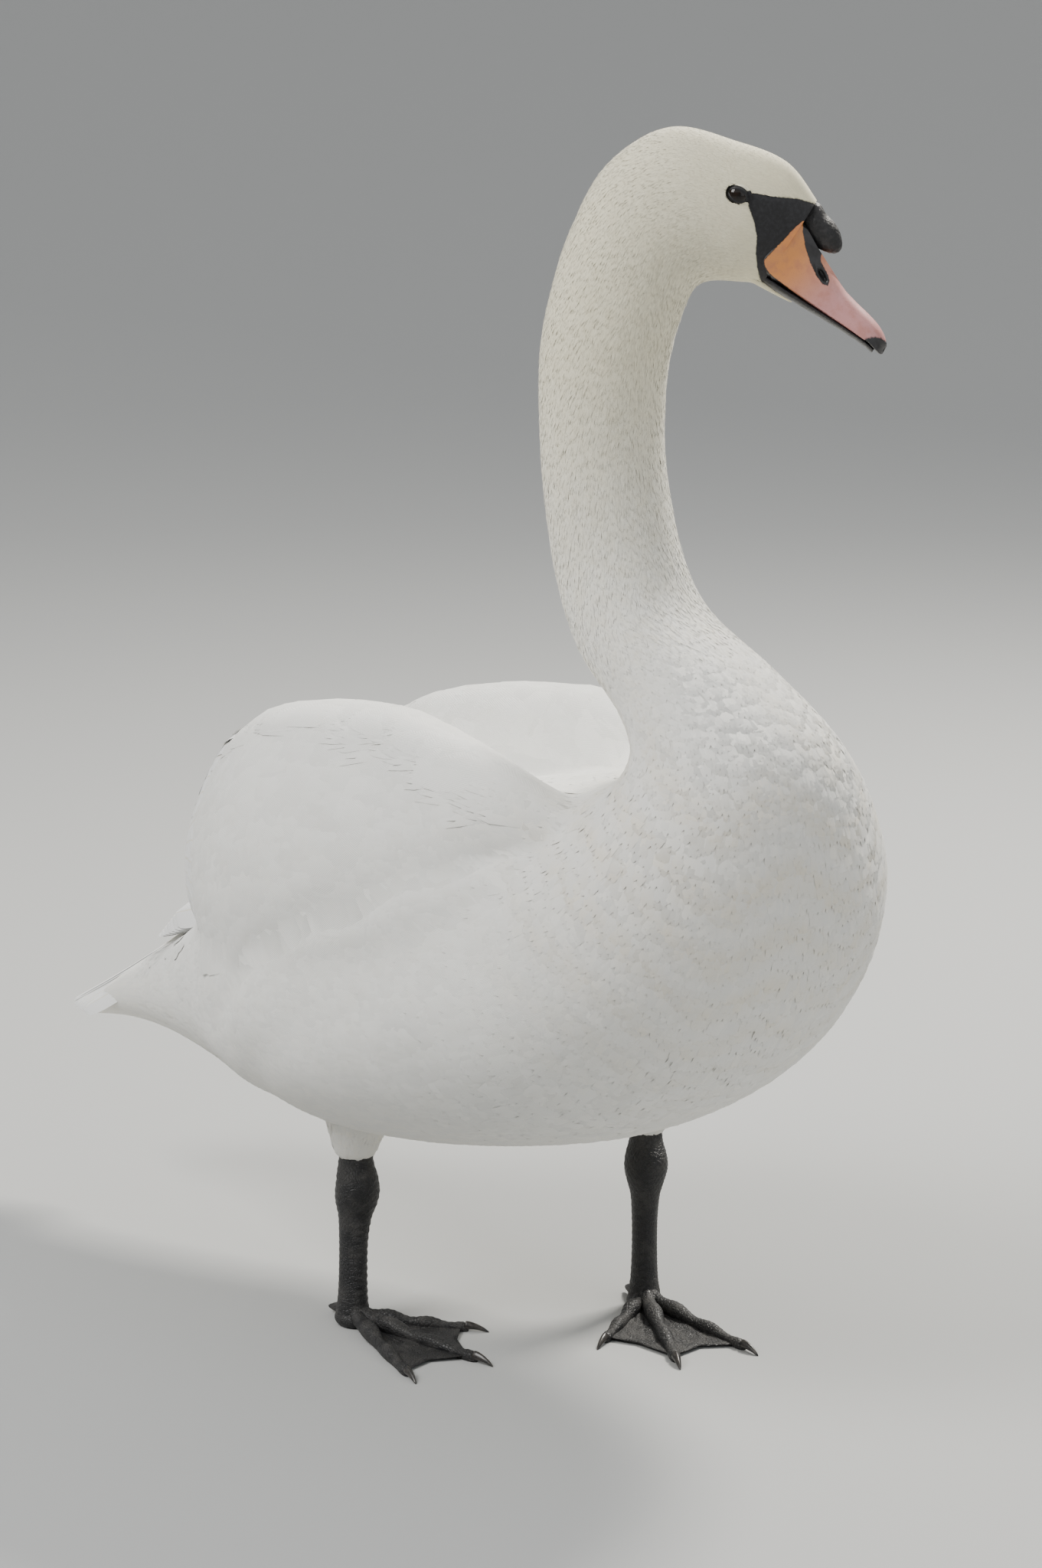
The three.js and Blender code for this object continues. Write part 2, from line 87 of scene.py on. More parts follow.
def mesh_piece(name, points, faces, shade=None):
    """A smooth object from points in millimetres and an array of triangles or quads. The shading
    normals may be given, so that soft plumage takes the light of the body under it."""
    mesh = bpy.data.meshes.new(name)
    mesh.vertices.add(len(points))
    mesh.vertices.foreach_set("co", (np.asarray(points, dtype=np.float32) * MM).ravel())
    mesh.loops.add(faces.size)
    mesh.loops.foreach_set("vertex_index", faces.astype(np.int32).ravel())
    mesh.polygons.add(len(faces))
    starts = np.arange(len(faces), dtype=np.int32) * faces.shape[1]
    mesh.polygons.foreach_set("loop_start", starts)
    mesh.polygons.foreach_set("use_smooth", np.full(len(faces), True))
    mesh.update(calc_edges=True)
    if shade is not None:
        mesh.normals_split_custom_set_from_vertices(shade.astype(np.float32))
    piece = bpy.data.objects.new(name, mesh)
    bpy.context.scene.collection.objects.link(piece)
    return piece


def paint(name, roughness, sheen=0.0, specular=0.5):
    """A material with one Principled shader, and that shader."""
    material = bpy.data.materials.new(name)
    material.use_nodes = True
    shader = material.node_tree.nodes["Principled BSDF"]
    shader.inputs["Roughness"].default_value = roughness
    shader.inputs["Sheen Weight"].default_value = sheen
    shader.inputs["Sheen Roughness"].default_value = 0.5
    shader.inputs["Specular IOR Level"].default_value = specular
    return material, shader


camera_data = bpy.data.cameras.new("camera")
camera_data.lens = VIEW_LENS
camera = aimed("camera", camera_data, VIEW_AZIMUTH, VIEW_DOWN, VIEW_DISTANCE)
bpy.context.scene.camera = camera

for name, azimuth, elevation, distance, size, power, colour in (
        ("key", -15, 46, 3.2, 1.5, 92, (1.0, 0.985, 0.96)),
        ("rim", 188, 46, 3.0, 0.7, 150, (1.0, 0.96, 0.88)),
        ("fill", 100, 18, 3.5, 2.4, 16, (0.94, 0.97, 1.0))):
    lamp_data = bpy.data.lights.new(name, "AREA")
    lamp_data.size, lamp_data.energy, lamp_data.color = size, power, colour
    aimed(name, lamp_data, azimuth, elevation, distance)

world = bpy.data.worlds.new("studio")
world.use_nodes = True
world.node_tree.nodes["Background"].inputs["Color"].default_value = (0.86, 0.87, 0.88, 1)
world.node_tree.nodes["Background"].inputs["Strength"].default_value = 0.95
bpy.context.scene.world = world

# The floor is flat for 4 m all round and then sweeps up into a low round wall, so that no
# horizon shows.
sweep = np.linspace(0, math.pi / 2, 14)
radius = np.concatenate([[1, 2000], 4000 + 12000 * np.sin(sweep), [16000]])[:, None]
height = np.concatenate([[0, 0], 7000 - 7000 * np.cos(sweep), [9000]])[:, None]
angle = full_turn(FLOOR_SIDES)
floor = mesh_piece("floor", points_at(radius * np.cos(angle), radius * np.sin(angle),
                                      height).reshape(-1, 3),
                   grid_faces(len(radius), FLOOR_SIDES)[:, ::-1])
floor_paint, shader = paint("floor_paint", 0.85)
shader.inputs["Base Color"].default_value = (0.42, 0.425, 0.42, 1)
floor.data.materials.append(floor_paint)

# ---------------------------------------------------------------------------------------
# Skin.
# The one unbroken skin of the feathered bird: trunk, rump, neck and head with the two folded
# wings swelling out of its sides. It lies under the coat by the coat's depth, and shows as the
# bare black skin between the eye and the bill, and in the hollow between the wings' ends.

# A row of rings from tail to face. Each hangs between a point of the upper outline and one of
# the under outline: upper x, upper z, under x, under z, half width, low, square, coat depth.
BODY_RINGS = np.array([
    (-452, 152, -456, 138, 15, 0.00, 2.0, 2.5),
    (-385, 194, -392, 148, 38, 0.00, 2.0, 3.5),
    (-312, 240, -316, 151, 67, 0.05, 2.0, 5.0),
    (-235, 294, -236, 145, 99, 0.08, 2.0, 6.0),
    (-150, 344, -142, 136, 134, 0.10, 2.1, 7.0),
    (-60, 381, -50, 133, 155, 0.10, 2.1, 7.0),
    (30, 400, 62, 150, 161, 0.08, 2.1, 7.0),
    (95, 414, 168, 181, 158, 0.04, 2.1, 7.0),
    (134, 420, 244, 233, 146, 0.00, 2.1, 7.0),
    (152, 426, 290, 310, 126, 0.00, 2.1, 6.5),
    (161, 434, 300, 386, 102, 0.00, 2.0, 6.0),
    (160, 447, 284, 447, 76, 0.00, 2.0, 5.5),
    (141, 464, 234, 495, 59, 0.00, 2.0, 5.0),
    (100, 500, 177, 530, 50, 0.00, 2.0, 4.5),
    (74, 544, 155, 566, 44, 0.00, 2.0, 4.0),
    (62, 604, 143, 618, 42, 0.00, 2.0, 3.6),
    (59, 656, 142, 660, 41, 0.00, 2.0, 3.2),
    (60, 698, 146, 694, 40, 0.00, 2.0, 3.0),
    (67, 734, 153, 719, 38, 0.00, 2.0, 2.8),
    (79, 772, 160, 735, 36, 0.00, 2.0, 2.6),
    (103, 815, 167, 740, 34, 0.05, 2.0, 2.4),
    (143, 839, 177, 741, 32, 0.08, 2.0, 2.2),
    (187, 830, 189, 740, 28, 0.10, 2.1, 1.8),
    (219, 817, 197, 739, 21, 0.12, 2.2, 1.2),
    (239, 793, 202, 737, 16.5, 0.10, 2.3, 0.8),
])
LAST_RING = len(BODY_RINGS) - 1
# The head is turned to the left about the neck's upright line; the neck twists between two
# stations, which count the rings above, and the whole bird is shifted to centre its box.
HEAD_TURN = math.radians(44.0)
TURN_AXIS_X = 106.0
TURN_FROM, TURN_TO = 12.5, 19.0
BOX_SHIFT = 89.0

# A folded wing's upright rings: x, distance out, height, half height, half thickness, lean.
WING_RINGS = np.array([
    (160, 108, 352, 8, 5, 4), (150, 108, 356, 56, 22, 4), (122, 106, 354, 80, 37, 6),
    (70, 104, 351, 101, 51, 6), (0, 98, 348, 113, 61, 8), (-70, 95, 343, 112, 63, 8),
    (-140, 85, 334, 107, 60, 8), (-196, 68, 323, 88, 51, 8), (-236, 52, 310, 66, 40, 8),
    (-260, 42, 302, 40, 25, 8), (-270, 38, 299, 11, 8, 8),
])
# How much higher each wing lies, its coat's depth, and how softly it swells out of the trunk.
WING_RAISED = {1: -6.0, -1: 4.0}
WING_COAT = 4.5
WING_SOFT = 6.0
# How deep the eye's socket goes in.
SOCKET_DEPTH = 9.0
# A distance that is well outside the bare skin.
OUTSIDE = -40.0


def smooth_step(x, low, high):
    """0 below low, 1 above high, and 3t^2 - 2t^3 between them."""
    t = np.clip((x - low) / (high - low), 0, 1)
    return t * t * (3 - 2 * t)


def bell(x, middle, width):
    """exp(-((x - middle) / width)^2): 1 in the middle and near 0 two widths away."""
    return np.exp(-((x - middle) / width) ** 2)


def unit(vectors):
    """Each vector divided by its length."""
    return vectors / (np.linalg.norm(vectors, axis=-1, keepdims=True) + 1e-9)


def along_table(table, u):
    """Catmull-Rom curve through the table's rows at parameter u, which counts rows."""
    last = len(table) - 1
    i = np.clip(np.floor(u).astype(int), 0, last - 1)
    f = (u - i)[..., None]
    a, b, c, d = (table[np.clip(i + k, 0, last)] for k in (-1, 0, 1, 2))
    return 0.5 * (2 * b + (c - a) * f + (2 * a - 5 * b + 4 * c - d) * f**2
                  + (3 * b - a - 3 * c + d) * f**3)


def table_rows(table, count):
    """So many rows along the whole table, for rings that an angle runs across."""
    return along_table(table, np.linspace(0, len(table) - 1, count))[:, None, :]


def squared_turn(angle, square):
    """Cosine and sine of an angle, each to the power 2 / square with its sign kept: a circle at
    2, and boxier above it."""
    return (np.sign(v) * np.abs(v) ** (2 / square) for v in (np.cos(angle), np.sin(angle)))


def turned_head(points, u=LAST_RING):
    """Each point yawed about the neck's upright line, by a share of HEAD_TURN that grows
    smoothly from TURN_FROM to TURN_TO, and then shifted so that the box is centred."""
    angle = HEAD_TURN * smooth_step(u, TURN_FROM, TURN_TO)
    x, y = points[..., 0] - TURN_AXIS_X, points[..., 1]
    out = points.copy()
    out[..., 0] = TURN_AXIS_X + x * np.cos(angle) - y * np.sin(angle) + BOX_SHIFT
    out[..., 1] = x * np.sin(angle) + y * np.cos(angle)
    return out


def wing_ring(x, side):
    """The ring of a folded wing at x: its distance out, level, half height and half thickness,
    and the cosine and sine of its lean."""
    rows = WING_RINGS[::-1]
    out, level, tall, thick, lean = (np.interp(x, rows[:, 0], rows[:, k]) for k in range(1, 6))
    return (out, level + WING_RAISED[side], tall, thick, np.cos(np.radians(lean)),
            np.sin(np.radians(lean)))


def wing_excess(points, side):
    """Below zero inside one folded wing: the ellipse rule of the wing's ring at that x, whose
    half height and half thickness are less than the real wing's by the coat's depth."""
    x = points[..., 0]
    out, level, tall, thick, c, s = wing_ring(x, side)
    tall, thick = np.maximum(tall - WING_COAT, 1), np.maximum(thick - WING_COAT, 1)
    y, z = points[..., 1] * side - out, points[..., 2] - level
    excess = ((y * c + z * s) / thick) ** 2 + ((z * c - y * s) / tall) ** 2 - 1
    return np.where((x > WING_RINGS[0, 0]) | (x < WING_RINGS[-1, 0]), 1.0, excess)


def wing_reach(centre, ray, near):
    """How far along each ray the outer face of a folded wing lies: the last even step that is
    inside a wing, halved down ten times to the crossing itself, or the near distance."""
    reach = near.copy()
    for side in (1, -1):
        inside, outside = near.copy(), near.copy()
        steps = np.linspace(0.7, 2.2, 40)
        for step, after in zip(steps[:-1], steps[1:]):
            hit = wing_excess(centre + ray * (near * step)[..., None], side) < 0
            inside = np.where(hit, near * step, inside)
            outside = np.where(hit, near * after, outside)
        found = outside > inside
        for _ in range(10):
            half = (inside + outside) / 2
            hit = wing_excess(centre + ray * half[..., None], side) < 0
            inside, outside = np.where(hit, half, inside), np.where(hit, outside, half)
        reach = np.where(found, np.maximum(reach, inside), reach)
    return reach


def softened(field, times):
    """A field of the grid averaged with its neighbours, round the ring and along the body."""
    for _ in range(times):
        field = 0.5 * field + 0.25 * (np.roll(field, 1, 1) + np.roll(field, -1, 1))
        inner = 0.5 * field[1:-1] + 0.25 * (field[:-2] + field[2:])
        field = np.concatenate([field[:1], inner, field[-1:]])
    return field


# Rows of the grid lie close together on the head and wider on the trunk.
SIDES = 240
grid_u = np.concatenate([
    np.linspace(0, 12, 130, endpoint=False), np.linspace(12, 19, 78, endpoint=False),
    np.linspace(19, 21.4, 50, endpoint=False), np.linspace(21.4, LAST_RING, 104)])
grid_theta = full_turn(SIDES)

ring = along_table(BODY_RINGS, grid_u)[:, None, :]
cosine, sine = squared_turn(grid_theta, ring[..., 6])
middle = points_at((ring[..., 0] + ring[..., 2]) / 2, 0, (ring[..., 1] + ring[..., 3]) / 2)
arm = points_at((ring[..., 0] - ring[..., 2]) / 2, 0, (ring[..., 1] - ring[..., 3]) / 2)
outline = middle + arm * cosine[..., None]
outline[..., 1] = ring[..., 4] * sine * (1 - ring[..., 5] * cosine)
middle = np.broadcast_to(middle, outline.shape)
spoke = outline - middle
full = np.linalg.norm(spoke, axis=-1)
ray = spoke / full[..., None]
coat_depth = np.broadcast_to(ring[..., 7], full.shape).copy()
near = full - coat_depth

# The wings swell out of the trunk: a smooth maximum of the two distances along each ray.
reach = near.copy()
low_rows, head_rows = grid_u < TURN_FROM, grid_u > TURN_TO
trunk = low_rows & (grid_u > 1)
reach[trunk] = wing_reach(middle[trunk], ray[trunk], near[trunk])
wing_rise = softened(reach - near, 8)
blend = np.sqrt(wing_rise**2 + WING_SOFT**2) - WING_SOFT
wing_share = smooth_step(wing_rise, 2, 14)
coat_depth = coat_depth * (1 - wing_share) + WING_COAT * wing_share
flat_skin = middle + ray * (near + blend)[..., None]

# Relief of the folded wing: the flank feathers lap over its lower edge, which runs from the
# wrist down to the rear (x, z and how deep the wing sinks above it), with a dimple at the wrist.
FOLD = np.array([(-175, 196, 0.0), (-135, 222, 0.6), (-105, 252, 0.9), (-71, 283, 0.85),
                 (-21, 306, 1.0), (31, 328, 0.65), (68, 346, 0.6), (101, 362, 0.8),
                 (128, 376, 1.0), (150, 385, 0.5), (175, 392, 0.0)])


def wing_relief(points):
    """How far the surface rises: hollows along the fold as bells of the distance d below it, a
    step on it, the dimple, and slow waves that crumple the plumage."""
    x, y, z = (points[..., k] for k in range(3))
    x = x + 9 * (y > 0)
    z = z + 5 * (y > 0) + 2.5 * np.sin(x / 13.0)
    depth = np.interp(x, FOLD[:, 0], FOLD[:, 2])
    d = 0.88 * (np.interp(x, FOLD[:, 0], FOLD[:, 1]) - z)
    rise = depth * (1.3 * np.tanh(d / 4) * bell(d, 0, 12) - 6.5 * bell(d, -11, 13)
                    - 2.6 * bell(d, 52, 17))
    rise = rise - 9.5 * bell(x, 130, 19) * bell(z - 0.12 * (x - 132), 383, 6)
    lumps = np.sin(x / 21 + 1.3 * np.sin(z / 33)) * np.sin(z / 17 + 1.1 * np.sin(x / 35))
    return (rise + 0.8 * lumps) * smooth_step(np.abs(y), 55, 95)


flat_skin[low_rows] += ray[low_rows] * wing_relief(flat_skin[low_rows])[..., None]

# The bare skin between eye and bill, in the middle plane of the straight head: x and z of its
# corners. Its feathered edge runs from the eye's front corner down to the corner of the mouth.
LORE_EDGE = np.array([
    (193.8, 797.6), (197.5, 798.3), (206, 796.9), (214, 795.4), (226, 794.2), (235, 791.4),
    (252, 785), (252, 760), (226, 733), (206, 736), (202.4, 743), (200.4, 751), (199.4, 760),
    (199.8, 771), (197.9, 780), (194.3, 789.5)])
# The part of that skin in front of the bill's rear edge is orange, as the bill is.
ORANGE_EDGE = np.array([
    (229.6, 780.2), (222.6, 774.2), (216.7, 767.4), (210.8, 761.2), (205.2, 755.9),
    (204.4, 754.0), (205.2, 751.4), (210.0, 744.6), (240, 730), (260, 760), (232, 779)])
EYE_PLACE = np.array([187.1, 21.2, 797.0])
EYE_RADIUS = 7.2
EYE_SLANT = math.radians(27)


def inside_distance(x, z, corners):
    """Distance from each point to the nearest side of a polygon, above zero inside it. A point
    is inside if a line from it to the right crosses an odd number of sides."""
    nearest = np.full(np.shape(x), 1e9)
    crossings = np.zeros(np.shape(x), dtype=int)
    for (ax, az), (bx, bz) in zip(corners, np.roll(corners, -1, 0)):
        ex, ez = bx - ax, bz - az
        t = np.clip(((x - ax) * ex + (z - az) * ez) / (ex * ex + ez * ez), 0, 1)
        nearest = np.minimum(nearest, np.hypot(x - ax - t * ex, z - az - t * ez))
        spans = (az > z) != (bz > z)
        height = np.where(abs(ez) < 1e-9, 1e-9, ez)
        crossings += spans & (x < ax + (z - az) * ex / height)
    return np.where(crossings % 2 == 1, nearest, -nearest)


def eye_oval(x, z, half_long, half_tall):
    """Below one inside the eye's slanting oval, one on it, above one outside."""
    along = (x - EYE_PLACE[0]) * math.cos(EYE_SLANT) - (z - EYE_PLACE[2]) * math.sin(EYE_SLANT)
    across = (x - EYE_PLACE[0]) * math.sin(EYE_SLANT) + (z - EYE_PLACE[2]) * math.cos(EYE_SLANT)
    return np.hypot(along / half_long, across / half_tall)


head_x, head_z = flat_skin[head_rows][..., 0], flat_skin[head_rows][..., 2]
lore, orange = np.full((2, *full.shape), OUTSIDE)
lore[head_rows] = inside_distance(head_x, head_z, LORE_EDGE)
orange[head_rows] = inside_distance(head_x, head_z, ORANGE_EDGE)
# Feathers shorten towards the bare skin, so that they end flush with it.
coat_depth = coat_depth * (0.3 + 0.7 * smooth_step(-lore, 0, 16))
oval = np.full(full.shape, 9.0)
oval[head_rows] = eye_oval(head_x, head_z, 6.6, 5.2)
unpushed_y = flat_skin[..., 1].copy()
# The socket: inside the oval the skin goes in behind the eyeball.
socket = SOCKET_DEPTH * (1 - smooth_step(oval, 0.9, 1.3))
flat_skin[..., 1] -= np.sign(flat_skin[..., 1]) * socket
# Bare skin is a little thicker towards the bill.
bare = smooth_step(lore, 0.0, 3.0)
flat_skin[..., 1] += np.sign(flat_skin[..., 1]) * 0.5 * bare * np.abs(sine)


def surface_of(points, flat_u, coat, patch):
    """A grid of points with rows from the tips of the feathers back to their roots. It gets the
    outward normals, the size of a cell each way and the rule for its place on the unwrap."""
    along = np.gradient(points, axis=0)
    around = (np.roll(points, -1, 1) - np.roll(points, 1, 1)) / 2
    normal = unit(np.cross(around, along))
    outward = points - points.mean(1, keepdims=True)
    normal *= np.sign((normal * outward).sum(-1).mean())
    for _ in range(2):
        normal = unit(normal + 0.5 * (np.roll(normal, 1, 1) + np.roll(normal, -1, 1)))
    return {
        "points": points, "normal": normal, "coat": coat, "u": flat_u, "patch": patch,
        "back": unit(-along), "round": unit(around),
        "row_size": np.linalg.norm(along, axis=-1) + 0.02,
        "column_size": np.linalg.norm(around, axis=-1) + 0.02,
    }


def unwrapped(patch, points, row, column):
    """Place on the unwrap: round the body across the patch, and along the body up it."""
    rows, columns = points.shape[:2]
    left, low, right, high = patch
    return np.stack([left + (right - left) * column / columns,
                     low + (high - low) * row / (rows - 1)], -1)


skin_points = turned_head(flat_skin, grid_u[:, None])
# The coat is laid on the skin as it would be without the sockets.
level_skin = flat_skin.copy()
level_skin[..., 1] += np.sign(flat_skin[..., 1]) * socket
body = surface_of(turned_head(level_skin, grid_u[:, None]),
                  np.broadcast_to(grid_u[:, None], full.shape), coat_depth,
                  (0.01, 0.01, 0.99, 0.86))


def map_corners(piece, name, places):
    """A UV map from one place for each corner of each face."""
    layer = piece.data.uv_layers.new(name=name)
    layer.data.foreach_set("uv", np.asarray(places, dtype=np.float32).ravel())


def colour_points(piece, name, colours):
    """A colour attribute with one colour for each point."""
    layer = piece.data.color_attributes.new(name, "FLOAT_COLOR", "POINT")
    full_colour = np.concatenate([colours, np.ones((len(colours), 1))], 1)
    layer.data.foreach_set("color", full_colour.astype(np.float32).ravel())


def value_points(piece, name, values):
    """A number attribute with one value for each point."""
    layer = piece.data.attributes.new(name, "FLOAT", "POINT")
    layer.data.foreach_set("value", np.asarray(values, dtype=np.float32).ravel())


def plumage(u, x, y, z, tip, chance):
    """Colour of a feather or of the skin under it: white on the body, warming to cream up the neck
    and over the head. The breast and the lower neck have faint ochre that is partly stains and
    partly painted shade, in waves that are strongest at the feathers' tips and lower down. There
    is a little ochre towards the bottom of the belly."""
    white = np.array([0.86, 0.865, 0.85])
    cream = np.array([0.85, 0.79, 0.57])
    ochre = np.array([0.66, 0.52, 0.27])
    creamy = 0.10 + 0.75 * smooth_step(u, 11.5, 17.5) + 0.15 * smooth_step(u, 20.5, 23.5)
    colour = white + (cream - white) * creamy[..., None]
    # Ochre on the breast and lower neck: partly stains and partly painted shade of the rows,
    # strongest at the feathers' tips and lower down.
    breast = smooth_step(u, 6.5, 9.5) * (1 - smooth_step(u, 12.0, 14.0))
    low = 1 - smooth_step(z, 380, 520)
    wave = 0.5 + 0.5 * np.sin(x / 9.0 + 2.2 * np.sin(y / 17.0) + z / 6.5)
    stain_and_shade = breast * (0.05 + 0.24 * wave * tip) * (0.4 + 0.6 * low) * (0.5 + chance)
    # A little ochre towards the bottom of the belly.
    belly = (1 - smooth_step(z, 130, 230)) * 0.12 * (0.5 + chance)
    stain_and_shade = np.clip(stain_and_shade + belly, 0, 0.6)
    colour = colour + (ochre - colour) * stain_and_shade[..., None]
    vary = 0.08 + 0.05 * smooth_step(u, 12, 15)
    return colour * (0.96 + vary * (chance - 0.5))[..., None]


# Thighs: two feathered upper legs that come down out of the belly onto the black shanks. Each
# foot has its place, the degrees it is turned by, and how far ahead and outwards of it the ankle
# and the knee lie; the thigh is drawn in under the belly by the tuck.
LEGS = {
    "left": {"side": 1, "x": 46, "y": 100, "heading": -34, "ankle": (-14, 3), "knee": (-30, 8),
             "tuck": 42},
    "right": {"side": -1, "x": -71, "y": -76, "heading": 4, "ankle": (1, -2), "knee": (4, -4),
              "tuck": 8},
}
ANKLE_HEIGHT = 98.0
# height, half depth, half width, coat depth
THIGH_RINGS = np.array([
    (125.0, 10.4, 9.6, 1.5), (126.5, 12.6, 11.6, 2.5), (135, 16.4, 15.0, 2.5),
    (150, 22.2, 20.2, 2.8), (172, 37.0, 28.0, 3.0), (205, 55.0, 35.0, 3.0)])


def foot_point(leg, ahead, outer, up):
    """A point of a foot's own frame: ahead, towards the outer side, and up."""
    heading = math.radians(leg["heading"])
    y = outer * leg["side"]
    return points_at(leg["x"] + BOX_SHIFT + ahead * math.cos(heading) - y * math.sin(heading),
                     leg["y"] + ahead * math.sin(heading) + y * math.cos(heading), up)


def leg_line(leg, height):
    """The leg's own line: straight from the foot joint to the ankle, then towards the knee."""
    up = height / ANKLE_HEIGHT
    low, high = np.minimum(up, 1), np.maximum(up - 1, 0)
    (ankle_a, ankle_o), (knee_a, knee_o) = leg["ankle"], leg["knee"]
    return ankle_a * low + (knee_a - ankle_a) * high, ankle_o * low + (knee_o - ankle_o) * high


def thigh_grid(leg):
    """Upright stack of ovals round the leg's line, from the shank up into the belly, drawn in
    towards the bird's middle by the leg's tuck."""
    row = table_rows(THIGH_RINGS, 46)
    turn = -leg["side"] * full_turn(72)
    ahead, outer = leg_line(leg, row[..., 0])
    outer = outer - leg["tuck"] * smooth_step(row[..., 0], 126, 200)
    points = foot_point(leg, ahead + row[..., 1] * np.cos(turn),
                        outer + row[..., 2] * np.sin(turn), row[..., 0])
    return points, np.broadcast_to(row[..., 3], points.shape[:2])


thighs = {}
for number, (side_name, leg) in enumerate(LEGS.items()):
    points, coat = thigh_grid(leg)
    thighs[side_name] = surface_of(points, np.full(points.shape[:2], 4.0), coat,
                                   (0.02 + 0.2 * number, 0.885, 0.18 + 0.2 * number, 0.99))

# The bill's own frame: along it from the corner of the mouth, across it, and up from it.
GAPE = np.array([203.0, 742.0])
BILL_DROP = math.radians(31.0)


def bill_point(along, across, up):
    """A point of the bill's frame, which slopes down by BILL_DROP, turned with the head."""
    x = GAPE[0] + along * math.cos(BILL_DROP) + up * math.sin(BILL_DROP)
    z = GAPE[1] - along * math.sin(BILL_DROP) + up * math.cos(BILL_DROP)
    return turned_head(points_at(x, across, z))


# The feathered wedge of the chin between the two sides of the lower bill: along, low, high,
# half width, coat depth.
CHIN_RINGS = np.array([
    (-14, -4.4, 2.4, 11.4, 0.8), (0, -4.0, 1.2, 9.0, 0.8), (14, -3.2, 0.4, 6.0, 0.7),
    (25, -2.4, 0.0, 2.6, 0.5)])
CHIN_SIDES = 40
row, turn = table_rows(CHIN_RINGS, 30), full_turn(CHIN_SIDES)
chin_points = bill_point(row[..., 0], row[..., 3] * np.sin(turn),
                         (row[..., 1] + row[..., 2]) / 2 + (row[..., 2] - row[..., 1]) / 2
                         * np.cos(turn))
chin = surface_of(chin_points, np.full(chin_points.shape[:2], 23.5),
                  np.broadcast_to(row[..., 4], chin_points.shape[:2]), (0.45, 0.885, 0.55, 0.99))


def lid_grid(side):
    """A rim of skin round one eye: ovals that grow from the opening outwards. Its height over
    the middle plane leaves the eyeball, rises into a rounded edge and sinks into the skin."""
    v, turn = np.linspace(0, 1, 17)[:, None], full_turn(96)
    half_long = 6.0 + 4.6 * v
    half_tall = 3.3 + 4.6 * v
    pinch = 1 - (0.34 - 0.2 * v) * np.abs(np.cos(turn)) ** 3
    along, across = half_long * np.cos(turn), half_tall * np.sin(turn) * pinch
    x = EYE_PLACE[0] + along * math.cos(EYE_SLANT) + across * math.sin(EYE_SLANT)
    z = EYE_PLACE[2] - along * math.sin(EYE_SLANT) + across * math.cos(EYE_SLANT)
    span = np.hypot(x - EYE_PLACE[0], z - EYE_PLACE[2])
    ball = EYE_PLACE[1] + np.sqrt(np.maximum(EYE_RADIUS**2 - span**2, 4.0))
    rows = grid_u > 20
    sheet = flat_skin[rows].reshape(-1, 3)
    level = np.abs(unpushed_y[rows]).reshape(-1)
    mine = sheet[:, 1] * side > 0
    sheet, level = sheet[mine], level[mine]
    gap = (sheet[None, :, 0] - x.reshape(-1, 1)) ** 2 + (sheet[None, :, 2] - z.reshape(-1, 1)) ** 2
    share = 1 / (gap + 0.3) ** 3
    skin_level = ((share * level[None]).sum(1) / share.sum(1)).reshape(x.shape)
    # The upper lid hangs a little further over the eyeball than the lower one.
    rim = bell(v, 0.26, 0.2) * (1 + 0.3 * np.sin(turn))
    lie = smooth_step(v, 0.25, 0.95)
    y = (ball - 0.5 + rim) * (1 - lie) + (skin_level - 0.45 * v) * lie
    over = ball + 0.45 * smooth_step(v, 0.02, 0.15)
    y = (y + over + np.sqrt((y - over) ** 2 + 0.1)) / 2
    y += 0.25 * bell(v, 0.62, 0.07) * (1 - 0.4 * np.cos(2 * turn))
    return turned_head(points_at(x, side * y, z))


def closed_faces(rows, columns, facing=1):
    """Quads of a grid that closes into a ring, and a fan over each end about two points that
    come after the grid's own."""
    count, end = rows * columns, (rows - 1) * columns
    a = np.arange(0, columns, 2)
    first = np.stack([0 * a + count, (a + 2) % columns, a + 1, a], -1)
    last = np.stack([0 * a + count + 1, end + a, end + a + 1, end + (a + 2) % columns], -1)
    return np.concatenate([grid_faces(rows, columns), first, last])[:, ::facing]


def closed_points(points):
    """A grid's points with the middle of its first and last ring after them."""
    return np.concatenate([points.reshape(-1, 3), points[:1].mean(1), points[-1:].mean(1)])


def skin_sheet(patch, points, bare, orange, colour, closed=True):
    """Points, faces, places and marks of one grid of the skin; the marks say how deep each point
    lies in the bare skin and in its orange part, and its colour. A closed one has a fan of quads
    over each end, about a point in the middle of the ring."""
    rows, columns = points.shape[:2]
    marks = np.concatenate([bare[..., None], orange[..., None], colour], -1).reshape(-1, 5)
    i, j = grid_cells(rows - 1, columns)
    row = np.stack([i, i, i + 1, i + 1], -1).ravel()
    column = np.stack([j, j + 1, j + 1, j], -1).ravel()
    if not closed:
        places = unwrapped(patch, points, row, column)
        return points.reshape(-1, 3), grid_faces(rows, columns), places, marks
    a = np.arange(0, columns, 2)[:, None]
    for rim, order in ((0, (1, 2, 1, 0)), (rows - 1, (1, 0, 1, 2))):
        row = np.concatenate([row, np.full(2 * columns, rim)])
        column = np.concatenate([column, (a + order).ravel()])
    return (closed_points(points), closed_faces(rows, columns),
            unwrapped(patch, points, row, column), np.concatenate([marks, marks[:1], marks[-1:]]))


def painted(surface):
    """The skin's own plumage colour, as under the tips of its feathers."""
    p = surface["points"]
    half = np.full(p.shape[:2], 0.5)
    return plumage(surface["u"], p[..., 0] - BOX_SHIFT, p[..., 1], p[..., 2], half, half)


